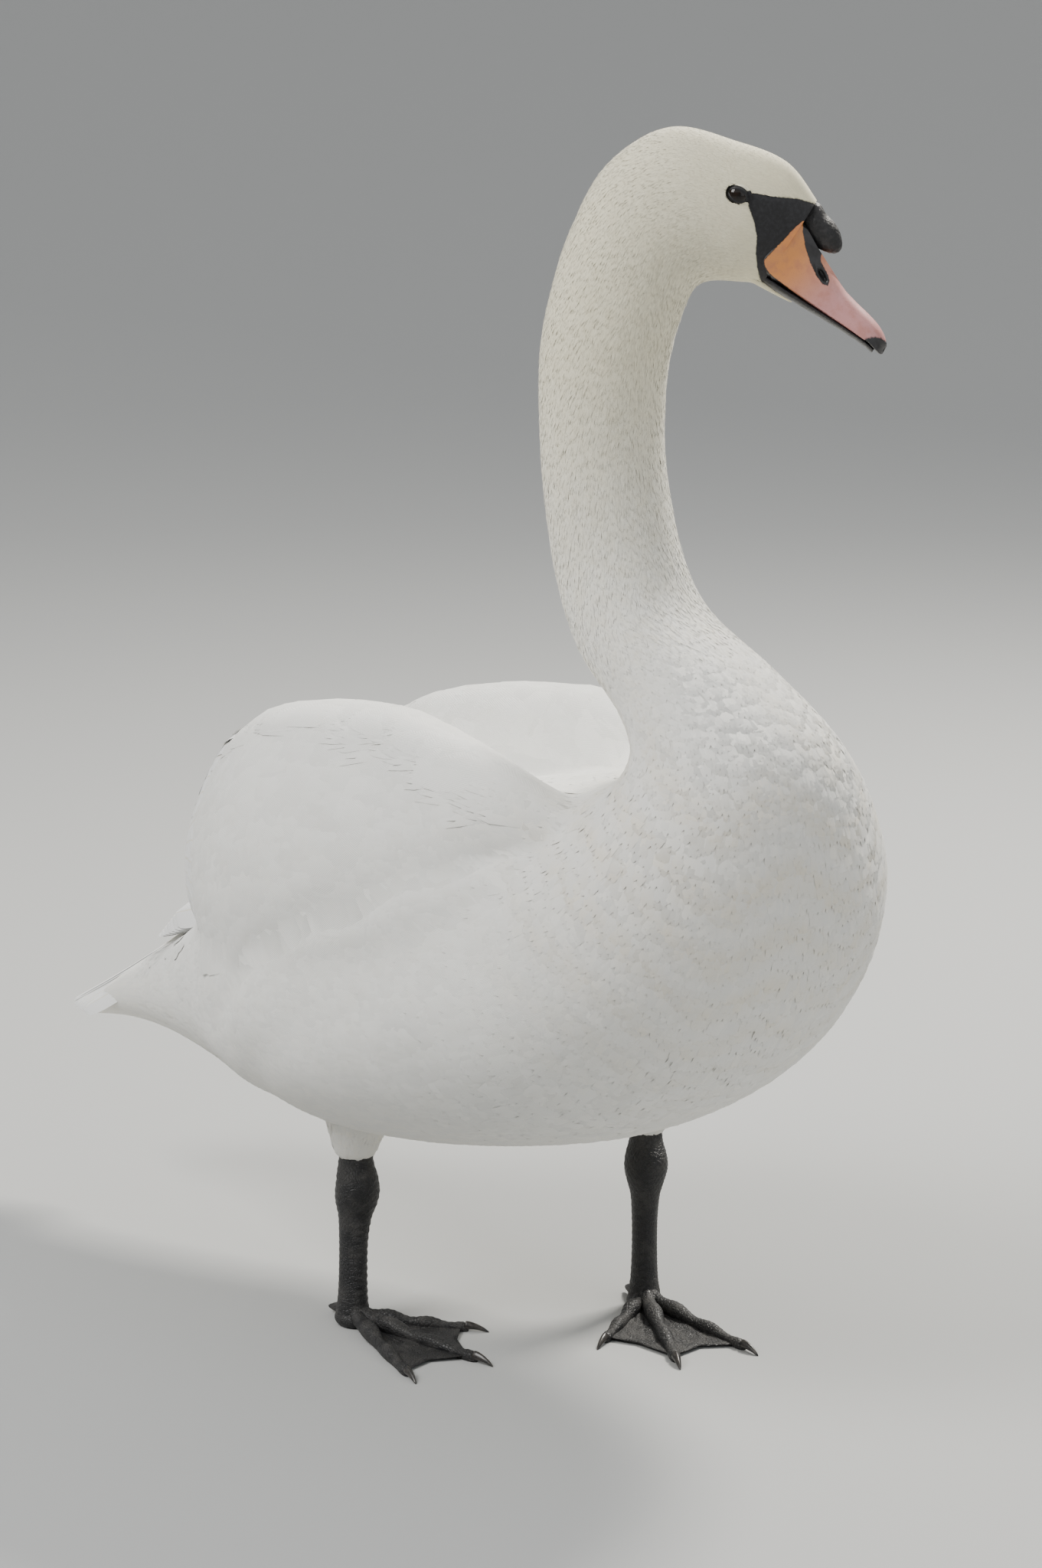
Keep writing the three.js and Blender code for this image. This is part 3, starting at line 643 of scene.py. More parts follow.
sheets = [skin_sheet(body["patch"], skin_points, lore, orange, painted(body))]
for surface in (*thighs.values(), chin):
    nowhere = np.full(surface["points"].shape[:2], OUTSIDE)
    sheets.append(skin_sheet(surface["patch"], surface["points"], nowhere, nowhere,
                             painted(surface)))
for number, side in enumerate((1, -1)):
    lid = lid_grid(side)
    # The lids' rims are black, and in front they run into the bare skin.
    lid_bare = np.interp(np.linspace(0, 1, len(lid)), [0, 0.42, 0.58, 1], [8, 4, -0.5, -3])
    lid_bare = lid_bare[:, None] + 12 * smooth_step(np.cos(full_turn(lid.shape[1])), 0.40, 0.75)
    sheets.append(skin_sheet((0.6 + 0.15 * number, 0.885, 0.72 + 0.15 * number, 0.99),
                             lid[:, ::side], lid_bare, lid_bare + OUTSIDE,
                             np.broadcast_to((0.8, 0.76, 0.6), lid.shape), False))


def closed_piece(name, points):
    """An object from one closed grid whose rows run forward."""
    return mesh_piece(name, closed_points(points), closed_faces(*points.shape[:2], -1))


def joined(points, faces):
    """Several shapes as one: their points in a row, and faces that count on from shape to
    shape."""
    firsts = np.cumsum([0] + [len(p) for p in points[:-1]])
    return np.concatenate(points), np.concatenate([f + k for f, k in zip(faces, firsts)])


def set_in(piece, material, nodes):
    """Gives a piece its material, hangs it on the root body, and hides the parts of the model that
    it stands for.
    """
    piece.data.materials.append(material)
    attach(piece, "root")
    if nodes:
        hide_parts(*nodes)


points, faces, places, marks = zip(*sheets)
skin = mesh_piece("skin", *joined(points, faces))
map_corners(skin, "OFBake", np.concatenate(places))
marks = np.concatenate(marks)
value_points(skin, "bare", marks[:, 0])
value_points(skin, "orange", marks[:, 1])
colour_points(skin, "plumage", marks[:, 2:])


def node(material, kind, inputs=(), **settings):
    """A node of a kind, with its settings, and its inputs given as numbers or other sockets."""
    made = material.node_tree.nodes.new(kind)
    for key, value in settings.items():
        setattr(made, key, value)
    for key, value in dict(inputs).items():
        if isinstance(value, bpy.types.NodeSocket):
            material.node_tree.links.new(value, made.inputs[key])
        else:
            made.inputs[key].default_value = value
    return made


def attribute(material, name):
    """A node that reads one of the piece's attributes."""
    return node(material, "ShaderNodeAttribute", attribute_name=name)


def maths(material, operation, *values):
    """A number worked out from others."""
    return node(material, "ShaderNodeMath", dict(enumerate(values)),
                operation=operation).outputs[0]


def noise(material, scale, detail=3):
    """Noise over Object coordinates, from 0 to 1."""
    place = node(material, "ShaderNodeTexCoord").outputs["Object"]
    return node(material, "ShaderNodeTexNoise", {
        "Vector": place, "Scale": scale, "Detail": detail, "Roughness": 0.55}).outputs[0]


def blend_colour(material, factor, first, second):
    """First colour where the factor is 0, second where it is 1."""
    mix = node(material, "ShaderNodeMix", data_type="RGBA")
    for slot, value in ((0, factor), (6, first), (7, second)):
        if isinstance(value, bpy.types.NodeSocket):
            material.node_tree.links.new(value, mix.inputs[slot])
        else:
            mix.inputs[slot].default_value = (*value, 1)
    return mix.outputs[2]


def ramp(material, value, low, high, to_low=0.0, to_high=1.0):
    """A number carried smoothly from the range low-high to the range to_low-to_high."""
    return node(material, "ShaderNodeMapRange", {
        "Value": value, "From Min": low, "From Max": high, "To Min": to_low,
        "To Max": to_high}, interpolation_type="SMOOTHSTEP").outputs[0]


def mottled(material, grain, low, high, first, second, most=1.0):
    """First colour where the grain is below low, and up to a share, most, of the second where it
    is above high."""
    return blend_colour(material, ramp(material, grain, low, high, 0, most), first, second)


def finish_surface(material, shader, colour, roughness=None, bump=None, strength=0.5,
                   deep=0.0005):
    """Wires colour, roughness and a bump height into the shader."""
    links = material.node_tree.links
    links.new(colour, shader.inputs["Base Color"])
    if roughness is not None:
        links.new(roughness, shader.inputs["Roughness"])
    if bump is not None:
        raised = node(material, "ShaderNodeBump", {
            "Height": bump, "Strength": strength, "Distance": deep})
        links.new(raised.outputs[0], shader.inputs["Normal"])


BLACK_SKIN = (0.012, 0.0115, 0.0125)
DUSTY_SKIN = (0.022, 0.0215, 0.024)
DARK_ORANGE = (0.46, 0.17, 0.12)
skin_paint, shader = paint("skin_paint", 0.62, specular=0.4)
ragged = noise(skin_paint, 900, 2)
mask = ramp(skin_paint, maths(skin_paint, "ADD", attribute(skin_paint, "bare").outputs["Fac"],
                              ragged), 0.0, 0.9)
wrinkle = noise(skin_paint, 420, 4)
whole = blend_colour(skin_paint, mask, attribute(skin_paint, "plumage").outputs["Color"],
                     mottled(skin_paint, wrinkle, 0.35, 0.75, BLACK_SKIN, DUSTY_SKIN))
orange_skin = mottled(skin_paint, noise(skin_paint, 150, 4), 0.42, 0.72, (0.70, 0.27, 0.085),
                      DARK_ORANGE, 0.45)
edge = maths(skin_paint, "ADD", attribute(skin_paint, "orange").outputs["Fac"], ragged)
finish_surface(skin_paint, shader, mottled(skin_paint, edge, 0.2, 0.9, whole, orange_skin),
               ramp(skin_paint, mask, 0, 1, 0.85, 0.5), wrinkle, 0.4, 0.0005)
set_in(skin, skin_paint, (
    "rump", "trunk", "neck_lower", "neck_middle", "neck_upper", "head", "thigh_left",
    "thigh_right", "wing_left", "wing_right"))

# ---------------------------------------------------------------------------------------
# Eyes.
# Two glossy, nearly black-brown eyeballs set in the sockets; only a lens-shaped part of each
# shows between the lids.


def ball_grid(rows=40, columns=64):
    """Unit sphere: rows run from pole to pole, columns round it."""
    polar, turn = np.linspace(0.02, np.pi - 0.02, rows)[:, None], full_turn(columns)
    return points_at(np.sin(polar) * np.cos(turn), np.sin(polar) * np.sin(turn), np.cos(polar))


eye_paint, shader = paint("eye_paint", 0.09, specular=0.35)
finish_surface(eye_paint, shader, mottled(eye_paint, noise(eye_paint, 260), 0.3, 0.7,
                                          (0.004, 0.003, 0.0025), (0.014, 0.008, 0.005)))
for name, side in (("left", 1), ("right", -1)):
    centre = turned_head(EYE_PLACE * (1, side, 1))
    eyeball = closed_piece(f"eyeball_{name}", ball_grid() * EYE_RADIUS + centre)
    set_in(eyeball, eye_paint, [f"eye_{name}"])

# ---------------------------------------------------------------------------------------
# Bill.
# A horn-skinned upper bill, orange at the base and dusky pink in front, edged in black, with
# open nostrils and a hard black nail; a thin black lower bill; and the soft black knob.

# along, mouth line, ridge, half width
UPPER_RINGS = np.array([
    (-7, 3.6, 47, 15.6), (2, 3.4, 46, 15.8), (10, 3.2, 42.5, 15.4), (20, 3, 37, 14.7),
    (29, 2.8, 32.6, 14.2), (39, 2.5, 27.8, 13.8), (50, 2.2, 22.5, 13.6), (61, 1.9, 19.4, 13.9),
    (72, 1.4, 17, 14), (81, 0.4, 14.4, 12.8), (87.5, -1.2, 11, 9.6), (91.3, -1.9, 7.6, 5.8),
    (93.2, -1.0, 4.4, 2)])
LOWER_RINGS = np.array([
    (-4, -1.0, 4.5, 10.5), (10, -2, 4.0, 13.0), (30, -1.7, 3.4, 12.9), (50, -1.4, 2.8, 12.6),
    (68, -1.6, 2.2, 12.6), (79, -2.2, 1.4, 10.8), (86.5, -3.3, -0.2, 6.4)])
# A nostril's middle along the bill and up it, its half length and half width.
NOSTRIL = (32.6, 23.0, 5.2, 1.75)
# The black band from under the knob to each nostril, and the nail: along and up.
BLACK_BAND = np.array([
    (-14, 52), (3.0, 46.5), (6.6, 40.2), (13.3, 32.7), (21.2, 25.9), (29.0, 20.8), (35.5, 18.2),
    (38.8, 19.2), (38.6, 22.0), (36.0, 25.0), (31.6, 27.6), (27.0, 30.2), (25.0, 34), (26, 40),
    (14, 62)])
NAIL = np.array([(73.5, -8), (76.6, 0.2), (79.2, 4.0), (82.6, 6.4), (86.2, 7.6), (89.5, 7.4),
                 (98, 7), (98, -8)])


def bill_grid(table, rows, columns, arch_share):
    """Rings along the bill: an arch over a flatter base, widest near the mouth line. Returns
    the along, across and up of every point, and the rings' rows."""
    row = table_rows(table, rows)
    c, s = squared_turn(full_turn(columns), 2.2)
    level = row[..., 1] + (row[..., 2] - row[..., 1]) * arch_share
    up = level + np.where(c > 0, (row[..., 2] - level) * c, (level - row[..., 1]) * c)
    return row[..., 0] + 0 * c, row[..., 3] * s, up, row


along, across, up, row = bill_grid(UPPER_RINGS, 200, 150, 0.12)
side = np.sign(across)
# The side is a little hollow over the mouth line and the edge itself turns out as a lip.
share_up = (up - row[..., 1]) / (row[..., 2] - row[..., 1])
hollow = 0.8 * smooth_step(along, 8, 40) * bell(share_up, 0.45, 0.2) * (np.abs(across) > 3)
across = across + side * (0.55 * bell(share_up, 0.06, 0.05) * (along > 0) - hollow)
# A nostril is a slot that slants with the ridge, cut in from each side.
slant = (along - NOSTRIL[0]) * 0.87 - (up - NOSTRIL[1]) * 0.49
rise = (along - NOSTRIL[0]) * 0.49 + (up - NOSTRIL[1]) * 0.87
slot_oval = np.hypot(slant / NOSTRIL[2], rise / NOSTRIL[3])
across = across - side * 3.4 * (1 - smooth_step(slot_oval, 0.45, 1.15))
across = across + side * 0.45 * bell(slot_oval, 1.5, 0.35)
# The nail: a raised shield over the tip.
nail = inside_distance(along, up, NAIL)
up = up + 0.5 * smooth_step(nail, -0.4, 0.8)
rear_edge = np.interp(up, [0, 6.0, 8.2, 10.5, 12.3, 20.5, 28.7, 37.7, 45.0],
                      [10, 4.6, -0.4, -4.0, -5.0, -3.3, -1.3, 0.2, 2.2])
# The base flares as wide as the face, just proud of it, and dives under the skin behind its
# rear edge. A smooth maximum of two widths joins the flare to the bill.
flare = np.interp(up, [0, 5, 12, 20, 28, 36, 43, 47], [9, 16.6, 18.4, 18.9, 18.4, 17.4, 15, 6])
flare = flare - 0.33 * (along + 3) - 2.6 * smooth_step(rear_edge - along, 0.4, 2.6)
flare = np.where(np.abs(across) > 0.5, flare, 0)
wide = np.abs(across)
across = side * (wide + flare + np.sqrt((wide - flare) ** 2 + 1.0) - 1.0) / 2
behind = (rear_edge - along) * 0.8
band = inside_distance(along, up, BLACK_BAND)
lip = np.interp(along, [-7, 4.6, 26, 46, 63, 76, 84], [8.5, 6.6, 4.2, 2.7, 2.1, 2.2, 3.0])
black = np.maximum.reduce([behind, band, lip - up, 0.5 * nail + 0.45])
upper = bill_point(along, across, up)

bill_paint, shader = paint("bill_paint", 0.42, specular=0.5)
shader.inputs["Coat Weight"].default_value = 0.12
shader.inputs["Coat Roughness"].default_value = 0.3
edge = maths(bill_paint, "MULTIPLY_ADD", noise(bill_paint, 700), 1.4,
             attribute(bill_paint, "dark").outputs["Fac"])
blotch = noise(bill_paint, 150, 4)
horn = blend_colour(bill_paint, attribute(bill_paint, "hue").outputs["Fac"], (0.70, 0.28, 0.085),
                    (0.62, 0.30, 0.29))
horn = mottled(bill_paint, blotch, 0.42, 0.72, horn, DARK_ORANGE, 0.45)
horn = mottled(bill_paint, noise(bill_paint, 1500, 2), 0.62, 0.72, horn, (0.22, 0.09, 0.07), 0.35)
black_horn = mottled(bill_paint, blotch, 0.4, 0.8, (0.012, 0.011, 0.012), (0.035, 0.032, 0.034))
finish_surface(bill_paint, shader, mottled(bill_paint, edge, 0.45, 1.15, horn, black_horn),
               ramp(bill_paint, blotch, 0.3, 0.8, 0.34, 0.52), blotch, 0.3, 0.0004)


def bill_piece(name, points, hue, dark, nodes):
    """A closed bill piece with its hue from base to front and its distance into the black."""
    piece = closed_piece(name, points)
    for key, values in (("hue", hue), ("dark", dark)):
        values = np.broadcast_to(values, points.shape[:2])
        value_points(piece, key, np.concatenate([values.ravel(), values[[0, -1]].mean(1)]))
    set_in(piece, bill_paint, nodes)


bill_piece("upper_bill", upper, smooth_step(along - 0.25 * up, 2, 46), black,
           ["bill_upper"])
along, across, up, row = bill_grid(LOWER_RINGS, 90, 80, 0.8)
up = up + 0.12 * np.sin(along * 2.1) * (np.abs(across) > 10)
bill_piece("lower_bill", bill_point(along, across, up), 0.0, 6.0, ["bill_lower"])

# The knob: a soft lump over the bill's base, lower in front, with a pitted skin.
ball = ball_grid(120, 160)
long_x, wide_y, tall_z = ball[..., 2] * 20.0, ball[..., 1] * 10.2, ball[..., 0] * 9.6
lump = 1 + 0.03 * np.sin(long_x / 4.2 + 1.0) + 0.025 * np.sin(wide_y / 3.1 + long_x / 6.0)
lump = lump + 0.012 * np.sin(long_x * 1.3) * np.sin(wide_y * 1.5) * np.sin(tall_z * 1.4)
tall_z = tall_z + 3.9 * smooth_step(-long_x, 2, 13) * smooth_step(ball[..., 0], -0.1, 0.6)
tilt = math.radians(16)
along = 15.6 + (long_x * math.cos(tilt) + tall_z * math.sin(tilt)) * lump
up = 47 + (-long_x * math.sin(tilt) + tall_z * math.cos(tilt)) * lump
knob_paint, shader = paint("knob_paint", 0.5, specular=0.45)
pit = noise(knob_paint, 650, 4)
finish_surface(knob_paint, shader, mottled(knob_paint, noise(knob_paint, 160), 0.4, 0.75,
                                           (0.012, 0.0115, 0.012), (0.04, 0.037, 0.038)),
               ramp(knob_paint, pit, 0.3, 0.7, 0.42, 0.6), pit, 0.55, 0.0007)
set_in(closed_piece("knob", bill_point(along, wide_y * lump, up)), knob_paint,
       ["bill_knob"])

# ---------------------------------------------------------------------------------------
# Coat of the head and upper neck.
# Short velvety feathers, thin as blades, that start at the bill and lie back over the crown
# and cheeks and then down the neck. They are shortest round the eye and at the bill.

GOLDEN = (math.sqrt(5) - 1) / 2
# How wide and tall a feather's place on the unwrap is.
PATCH_SIZE = 0.0028


def scattered(surface, count, weight, seed):
    """Roots spread evenly by area: the i-th root is at share (i + 1/2) / count of the weighted
    area up the rows and at share i x golden ratio of its own row, and is then nudged a little."""
    area = surface["row_size"] * surface["column_size"] * weight + 1e-9
    rows, columns = area.shape
    up = np.concatenate([[0], np.cumsum(area.sum(1))])
    i = np.arange(count)
    row = np.interp((i + 0.5) / count * up[-1], up, np.arange(rows + 1)) - 0.5
    row = np.clip(row, 0, rows - 1.001)
    along = np.concatenate([np.zeros((rows, 1)), np.cumsum(area, 1)], 1)
    along /= along[:, -1:]
    which = np.round(row).astype(int)
    key = (along + 2.0 * np.arange(rows)[:, None]).ravel()
    share = np.mod(i * GOLDEN, 1.0)
    place = np.searchsorted(key, 2.0 * which + share, side="right") - 1
    low, high = key[place], key[np.minimum(place + 1, len(key) - 1)]
    column = place - which * (columns + 1) + (2.0 * which + share - low) / (high - low + 1e-12)
    spacing = math.sqrt(area.sum() / count)
    nudge = np.random.default_rng(seed).uniform(-0.33, 0.33, (2, count)) * spacing
    up = row + nudge[0] / looked_up(surface["row_size"], row, column)
    along = column + nudge[1] / looked_up(surface["column_size"], row, column) - 0.5
    return np.clip(up, 0, rows - 1.001), np.mod(along, columns)


def looked_up(field, row, column):
    """A quantity of the grid between its points: the mean of the four round the place, each
    weighted by how near it is. A grid of single numbers gives a number for each place."""
    if field.ndim == 2:
        return looked_up(field[..., None], row, column)[..., 0]
    rows, columns = field.shape[:2]
    row = np.clip(row, 0, rows - 1.001)
    i = np.floor(row).astype(int)
    j = np.floor(column).astype(int)
    f, g = (row - i)[..., None], (column - j)[..., None]
    j, k = np.mod(j, columns), np.mod(j + 1, columns)
    return ((field[i, j] * (1 - g) + field[i, k] * g) * (1 - f)
            + (field[i + 1, j] * (1 - g) + field[i + 1, k] * g) * f)


def stepped(surface, row, column, up, along):
    """The row and column that lie so many millimetres up the rows and along them from a place,
    by the cell's size there."""
    row = row + up / looked_up(surface["row_size"], row, column)
    return row, column + along / looked_up(surface["column_size"], row, column)


def blade():
    """A closed blade with six points: two at the root, a low ridge in the middle, one tip."""
    return {
        "levels": np.array([0, 0.5, 1.0]), "level": np.array([0, 0, 1, 1, 1, 2]),
        "t": np.array([-0.6, 0.6, -1, 0, 1, 0.0]), "ridge": np.array([0, 0, 0, 1, 0, 0.0]),
        "loose": np.zeros(6), "under": np.zeros(6),
        "faces": np.array([(0, 1, 3), (0, 3, 2), (1, 4, 3), (2, 3, 5), (3, 4, 5), (0, 2, 1),
                           (1, 2, 4), (2, 5, 4)]),
    }


def vane(levels, widths, columns):
    """A feather's vane: rows of points across it at each level, arched by the ridge, a fringe
    of loose points past the last row, and a flat underside that closes it."""
    rows, tips, widths = len(levels), columns - 1, np.asarray(widths)
    across = np.linspace(-1, 1, columns)
    fringe = (across[:-1] + across[1:]) / 2
    end, first, under = (rows - 1) * columns, rows * columns, rows * columns + tips
    i, j = grid_cells(rows - 1, tips)
    a, n = (i * columns + j).ravel(), np.arange(tips)
    b = under + 2 * np.arange(rows - 1)
    corners = ((a, a + 1, a + columns + 1), (a, a + columns + 1, a + columns),
               (end + n, end + n + 1, first + n), (b, b + 3, b + 1), (b, b + 2, b + 3))
    # For every number: the rows of the upper side, then the fringe, then the underside.
    return {
        "levels": np.append(levels, 1.0),
        "level": np.concatenate([np.repeat(np.arange(rows), columns), np.full(tips, rows),
                                 np.repeat(np.arange(rows), 2)]),
        "t": np.concatenate([(across * widths[:, None]).ravel(), fringe * widths[-1] * 1.1,
                             np.stack([-widths, widths], -1).ravel()]),
        "ridge": np.concatenate([np.tile(1 - across**2, rows), 1 - fringe**2,
                                 np.zeros(2 * rows)]),
        "loose": np.repeat([0.0, 1.0, 0.0], [first, tips, 2 * rows]),
        "under": np.repeat([0.0, 1.0], [under, 2 * rows]),
        "faces": np.concatenate([np.stack(three, -1) for three in corners]),
    }


def laid(surface, row, column, long, wide, swing, low, high, camber, shape, seed, bow=0.0,
         lean=(-0.08, 0.16), roll=0.16, slope=0.0, dive=0.75):
    """Feathers of one shape laid on a surface. Each spine is stepped over the grid from its root
    towards lower rows, turned by swing, and its true length is kept by dividing each step by the
    cell's size there. Its height over the skin grows from low to high times the coat's depth,
    and its tip dives back by a share of that, into the feathers that it lies on.
    It is shaded as the skin under it, leant back by lean from root to tip and by slope all over,
    and rolled to its edges by roll."""
    count = len(row)
    chance = np.random.default_rng(seed)
    long, wide, swing, low, high, camber, bow, slope = (
        np.broadcast_to(np.asarray(value, dtype=float), (count,))
        for value in (long, wide, swing, low, high, camber, bow, slope))
    root = unwrapped(surface["patch"], surface["points"], row, column)
    levels = shape["levels"]
    spine = [(row, column)]
    for before, after in zip(levels[:-1], levels[1:]):
        place, step = spine[-1], long * (after - before) / 2
        for _ in range(2):
            place = stepped(surface, *place, -step * np.cos(swing), step * np.sin(swing))
        spine.append(place)
    r, c = (np.stack([place[k] for place in spine], 1) for k in range(2))
    lev, t, ridge = shape["level"], shape["t"], shape["ridge"]
    fray = shape["loose"] * chance.uniform(-0.5, 0.4, (count, len(lev)))
    nearer = np.maximum(lev - 1, 0)
    r_at = r[:, lev] + fray * (r[:, lev] - r[:, nearer])
    c_at = c[:, lev] + fray * (c[:, lev] - c[:, nearer])
    s = levels[lev][None, :] + fray * (levels[lev] - levels[nearer])
    across = t[None, :] * wide[:, None] / 2
    across = across + (shape["loose"] * chance.uniform(-0.12, 0.12, (count, len(lev)))
                       * wide[:, None])
    turn = swing[:, None]
    r_at, c_at = stepped(surface, r_at, c_at, across * np.sin(turn), across * np.cos(turn))
    place, normal, depth, back, around, u = (
        looked_up(surface[key], r_at, c_at)
        for key in ("points", "normal", "coat", "back", "round", "u"))
    normal = unit(normal)
    climb = s**1.3 * (1 - dive * smooth_step(s, 0.7, 1.0))
    height = depth * (low[:, None] + (high - low)[:, None] * climb)
    height = height + camber[:, None] * ridge * np.sin(np.pi * np.clip(s, 0.04, 0.93)) ** 0.5
    height = height + bow[:, None] * s**2
    place = place + normal * height[..., None]
    turn = turn[..., None]
    lie = back * np.cos(turn) + around * np.sin(turn)
    side = around * np.cos(turn) - back * np.sin(turn)
    shade = normal + lie * (lean[0] + (lean[1] - lean[0]) * s[..., None] ** 2)
    shade = shade + back * slope[:, None, None]
    shade = shade + side * (roll * np.clip(t, -1, 1))[None, :, None]
    shade = unit(np.where(shape["under"][None, :, None] > 0, -normal, shade))
    luck = np.broadcast_to(chance.uniform(0, 1, (count, 1)), s.shape)
    colour = plumage(u, place[..., 0] - BOX_SHIFT, place[..., 1], place[..., 2], s, luck)
    patch = root[:, None, :] + PATCH_SIZE / 2 * np.stack([t + 0 * s, 2 * s - 1], -1)
    vane_map = np.stack([0.5 + 0.5 * t + 0 * s, s], -1)
    faces = shape["faces"][None] + (np.arange(count) * len(lev))[:, None, None]
    return {"points": place.reshape(-1, 3), "faces": faces.reshape(-1, 3),
            "colour": colour.reshape(-1, 3), "OFBake": patch.reshape(-1, 2),
            "vane": vane_map.reshape(-1, 2), "shade": shade.reshape(-1, 3)}


def coat_piece(name, layers, material, nodes=()):
    """One object from layers of feathers, with its maps and colours."""
    points, faces = joined([layer["points"] for layer in layers],
                           [layer["faces"] for layer in layers])
    both = {key: np.concatenate([layer[key] for layer in layers])
            for key in layers[0] if key not in ("points", "faces")}
    piece = mesh_piece(name, points, faces, shade=both.get("shade"))
    for key in ("OFBake", "vane"):
        map_corners(piece, key, both[key][faces.ravel()])
    colour_points(piece, "plumage", both["colour"])
    set_in(piece, material, nodes)


velvet_paint, shader = paint("velvet_paint", 0.82, sheen=0.25, specular=0.25)
finish_surface(velvet_paint, shader, mottled(
    velvet_paint, noise(velvet_paint, 130), 0.3, 0.75,
    attribute(velvet_paint, "plumage").outputs["Color"], (0.70, 0.62, 0.42), 0.22))

neck_u = body["u"]
head_weight = smooth_step(neck_u, 18.9, 19.6) * (lore < -0.2) * (oval > 1.25)
for name, count, weight, seed in (
        ("coat_face", 24000, head_weight * (neck_u > 21.3), 11),
        ("coat_crown", 24000, head_weight * (neck_u <= 21.3), 12),
        ("coat_nape", 24500, smooth_step(neck_u, 15.6, 16.6) * (neck_u < 19.3), 13),
        ("coat_neck", 24500, smooth_step(neck_u, 12.3, 13.3) * (neck_u < 16.3), 14)):
    row, column = scattered(body, count, weight, seed)
    dice = np.random.default_rng(seed + 100)
    off_eye = smooth_step(looked_up(oval, row, column), 1.2, 2.6)
    size = dice.uniform(0.8, 1.2, count) * (0.55 + 0.45 * off_eye)
    station = looked_up(body["u"], row, column)
    long = np.interp(station, [12, 16, 19, 21.3, 23.5], [15, 13, 10, 8, 5.5]) * size
    wide = np.interp(station, [12, 16, 19, 21.3, 23.5], [3.0, 2.5, 1.9, 1.6, 1.3])
    layer = laid(body, row, column, long, wide * dice.uniform(0.7, 1.2, count),
                 dice.normal(0, 0.14, count), 0.6, dice.uniform(0.88, 1.06, count),
                 0.12 * wide, blade(), seed, lean=(-0.04, 0.10), roll=0.12, dive=0.25,
                 bow=0.5 * (dice.uniform(0, 1, count) > 0.94) * (station < 21))
    coat_piece(name, [layer], velvet_paint)

# ---------------------------------------------------------------------------------------
# Coat of the lower neck, breast and belly.
# Soft scale-like feathers in loose waving rows, each lying over the root of the one behind it.

feather_paint, shader = paint("feather_paint", 0.78, sheen=0.2, specular=0.3)


def barbs(material, slant, pitch):
    """How far each point lies beside the shaft, and fine waves over the vane: the sine of pitch
    times its place along the vane less slant times that distance."""
    split = node(material, "ShaderNodeSeparateXYZ", {
        0: node(material, "ShaderNodeUVMap", uv_map="vane").outputs[0]})
    aside = maths(material, "ABSOLUTE", maths(material, "SUBTRACT", split.outputs[0], 0.5))
    line = maths(material, "MULTIPLY_ADD", aside, -slant, split.outputs[1])
    return aside, maths(material, "SINE", maths(material, "MULTIPLY", line, pitch))


finish_surface(feather_paint, shader, mottled(
    feather_paint, noise(feather_paint, 60), 0.35, 0.8,
    attribute(feather_paint, "plumage").outputs["Color"], (0.74, 0.70, 0.58), 0.12),
    bump=barbs(feather_paint, 0.7, 190.0)[1], strength=0.25, deep=0.0003)

body_length = np.cumsum(body["row_size"], axis=0)


def ripple(row, column):
    """Loose rows over the breast: a sine of the length along the body, 15 mm from crest to
    crest, pushed to and fro by slower sines round it. Its height and its slope, from -1 to 1,
    and nothing elsewhere."""
    length = looked_up(body_length, row, column)
    u = looked_up(body["u"], row, column)
    theta = column * 2 * np.pi / SIDES
    push = (1.8 * np.sin(theta * 5 + length / 40) + 1.3 * np.sin(theta * 13 - length / 23)
            + 0.9 * np.sin(theta * 29 + length / 9))
    share = smooth_step(u, 5.0, 8.5) * (1 - smooth_step(u, 11.2, 13.6))
    share = share * (0.65 + 0.35 * np.sin(theta * 3.7 + length / 55))
    return np.sin(length / 2.4 + push) * share, np.cos(length / 2.4 + push) * share


in_wing = smooth_step(softened(wing_share, 4), 0.25, 0.75)
# No loose feathers where the skin turns in behind the wings' ends.
behind = -flat_skin[..., 0]
wing_end = smooth_step(behind, 225, 240) * smooth_step(flat_skin[..., 2], 225, 245)
valley = smooth_step(behind, 175, 195) * smooth_step(flat_skin[..., 2], 235, 255) * (
    np.abs(flat_skin[..., 1]) < 62)
wing_end = np.maximum(wing_end, valley) * (1 - smooth_step(behind, 300, 320))


def pressed(row, column, flank):
    """How flat the feathers lie round the wings' ends, from 0 to 1: a share that grows to the
    rear on the flanks and down the middle of the back."""
    x, y, z = looked_up(body["points"], row, column).T
    x = BOX_SHIFT - x
    low = flank * smooth_step(x, 90, 235) * smooth_step(z, 150, 225)
    middle = smooth_step(x, 60, 165) * (1 - smooth_step(np.abs(y), 40, 72))
    return np.maximum(low, middle * smooth_step(z, 225, 245)) * (1 - smooth_step(x, 300, 380))


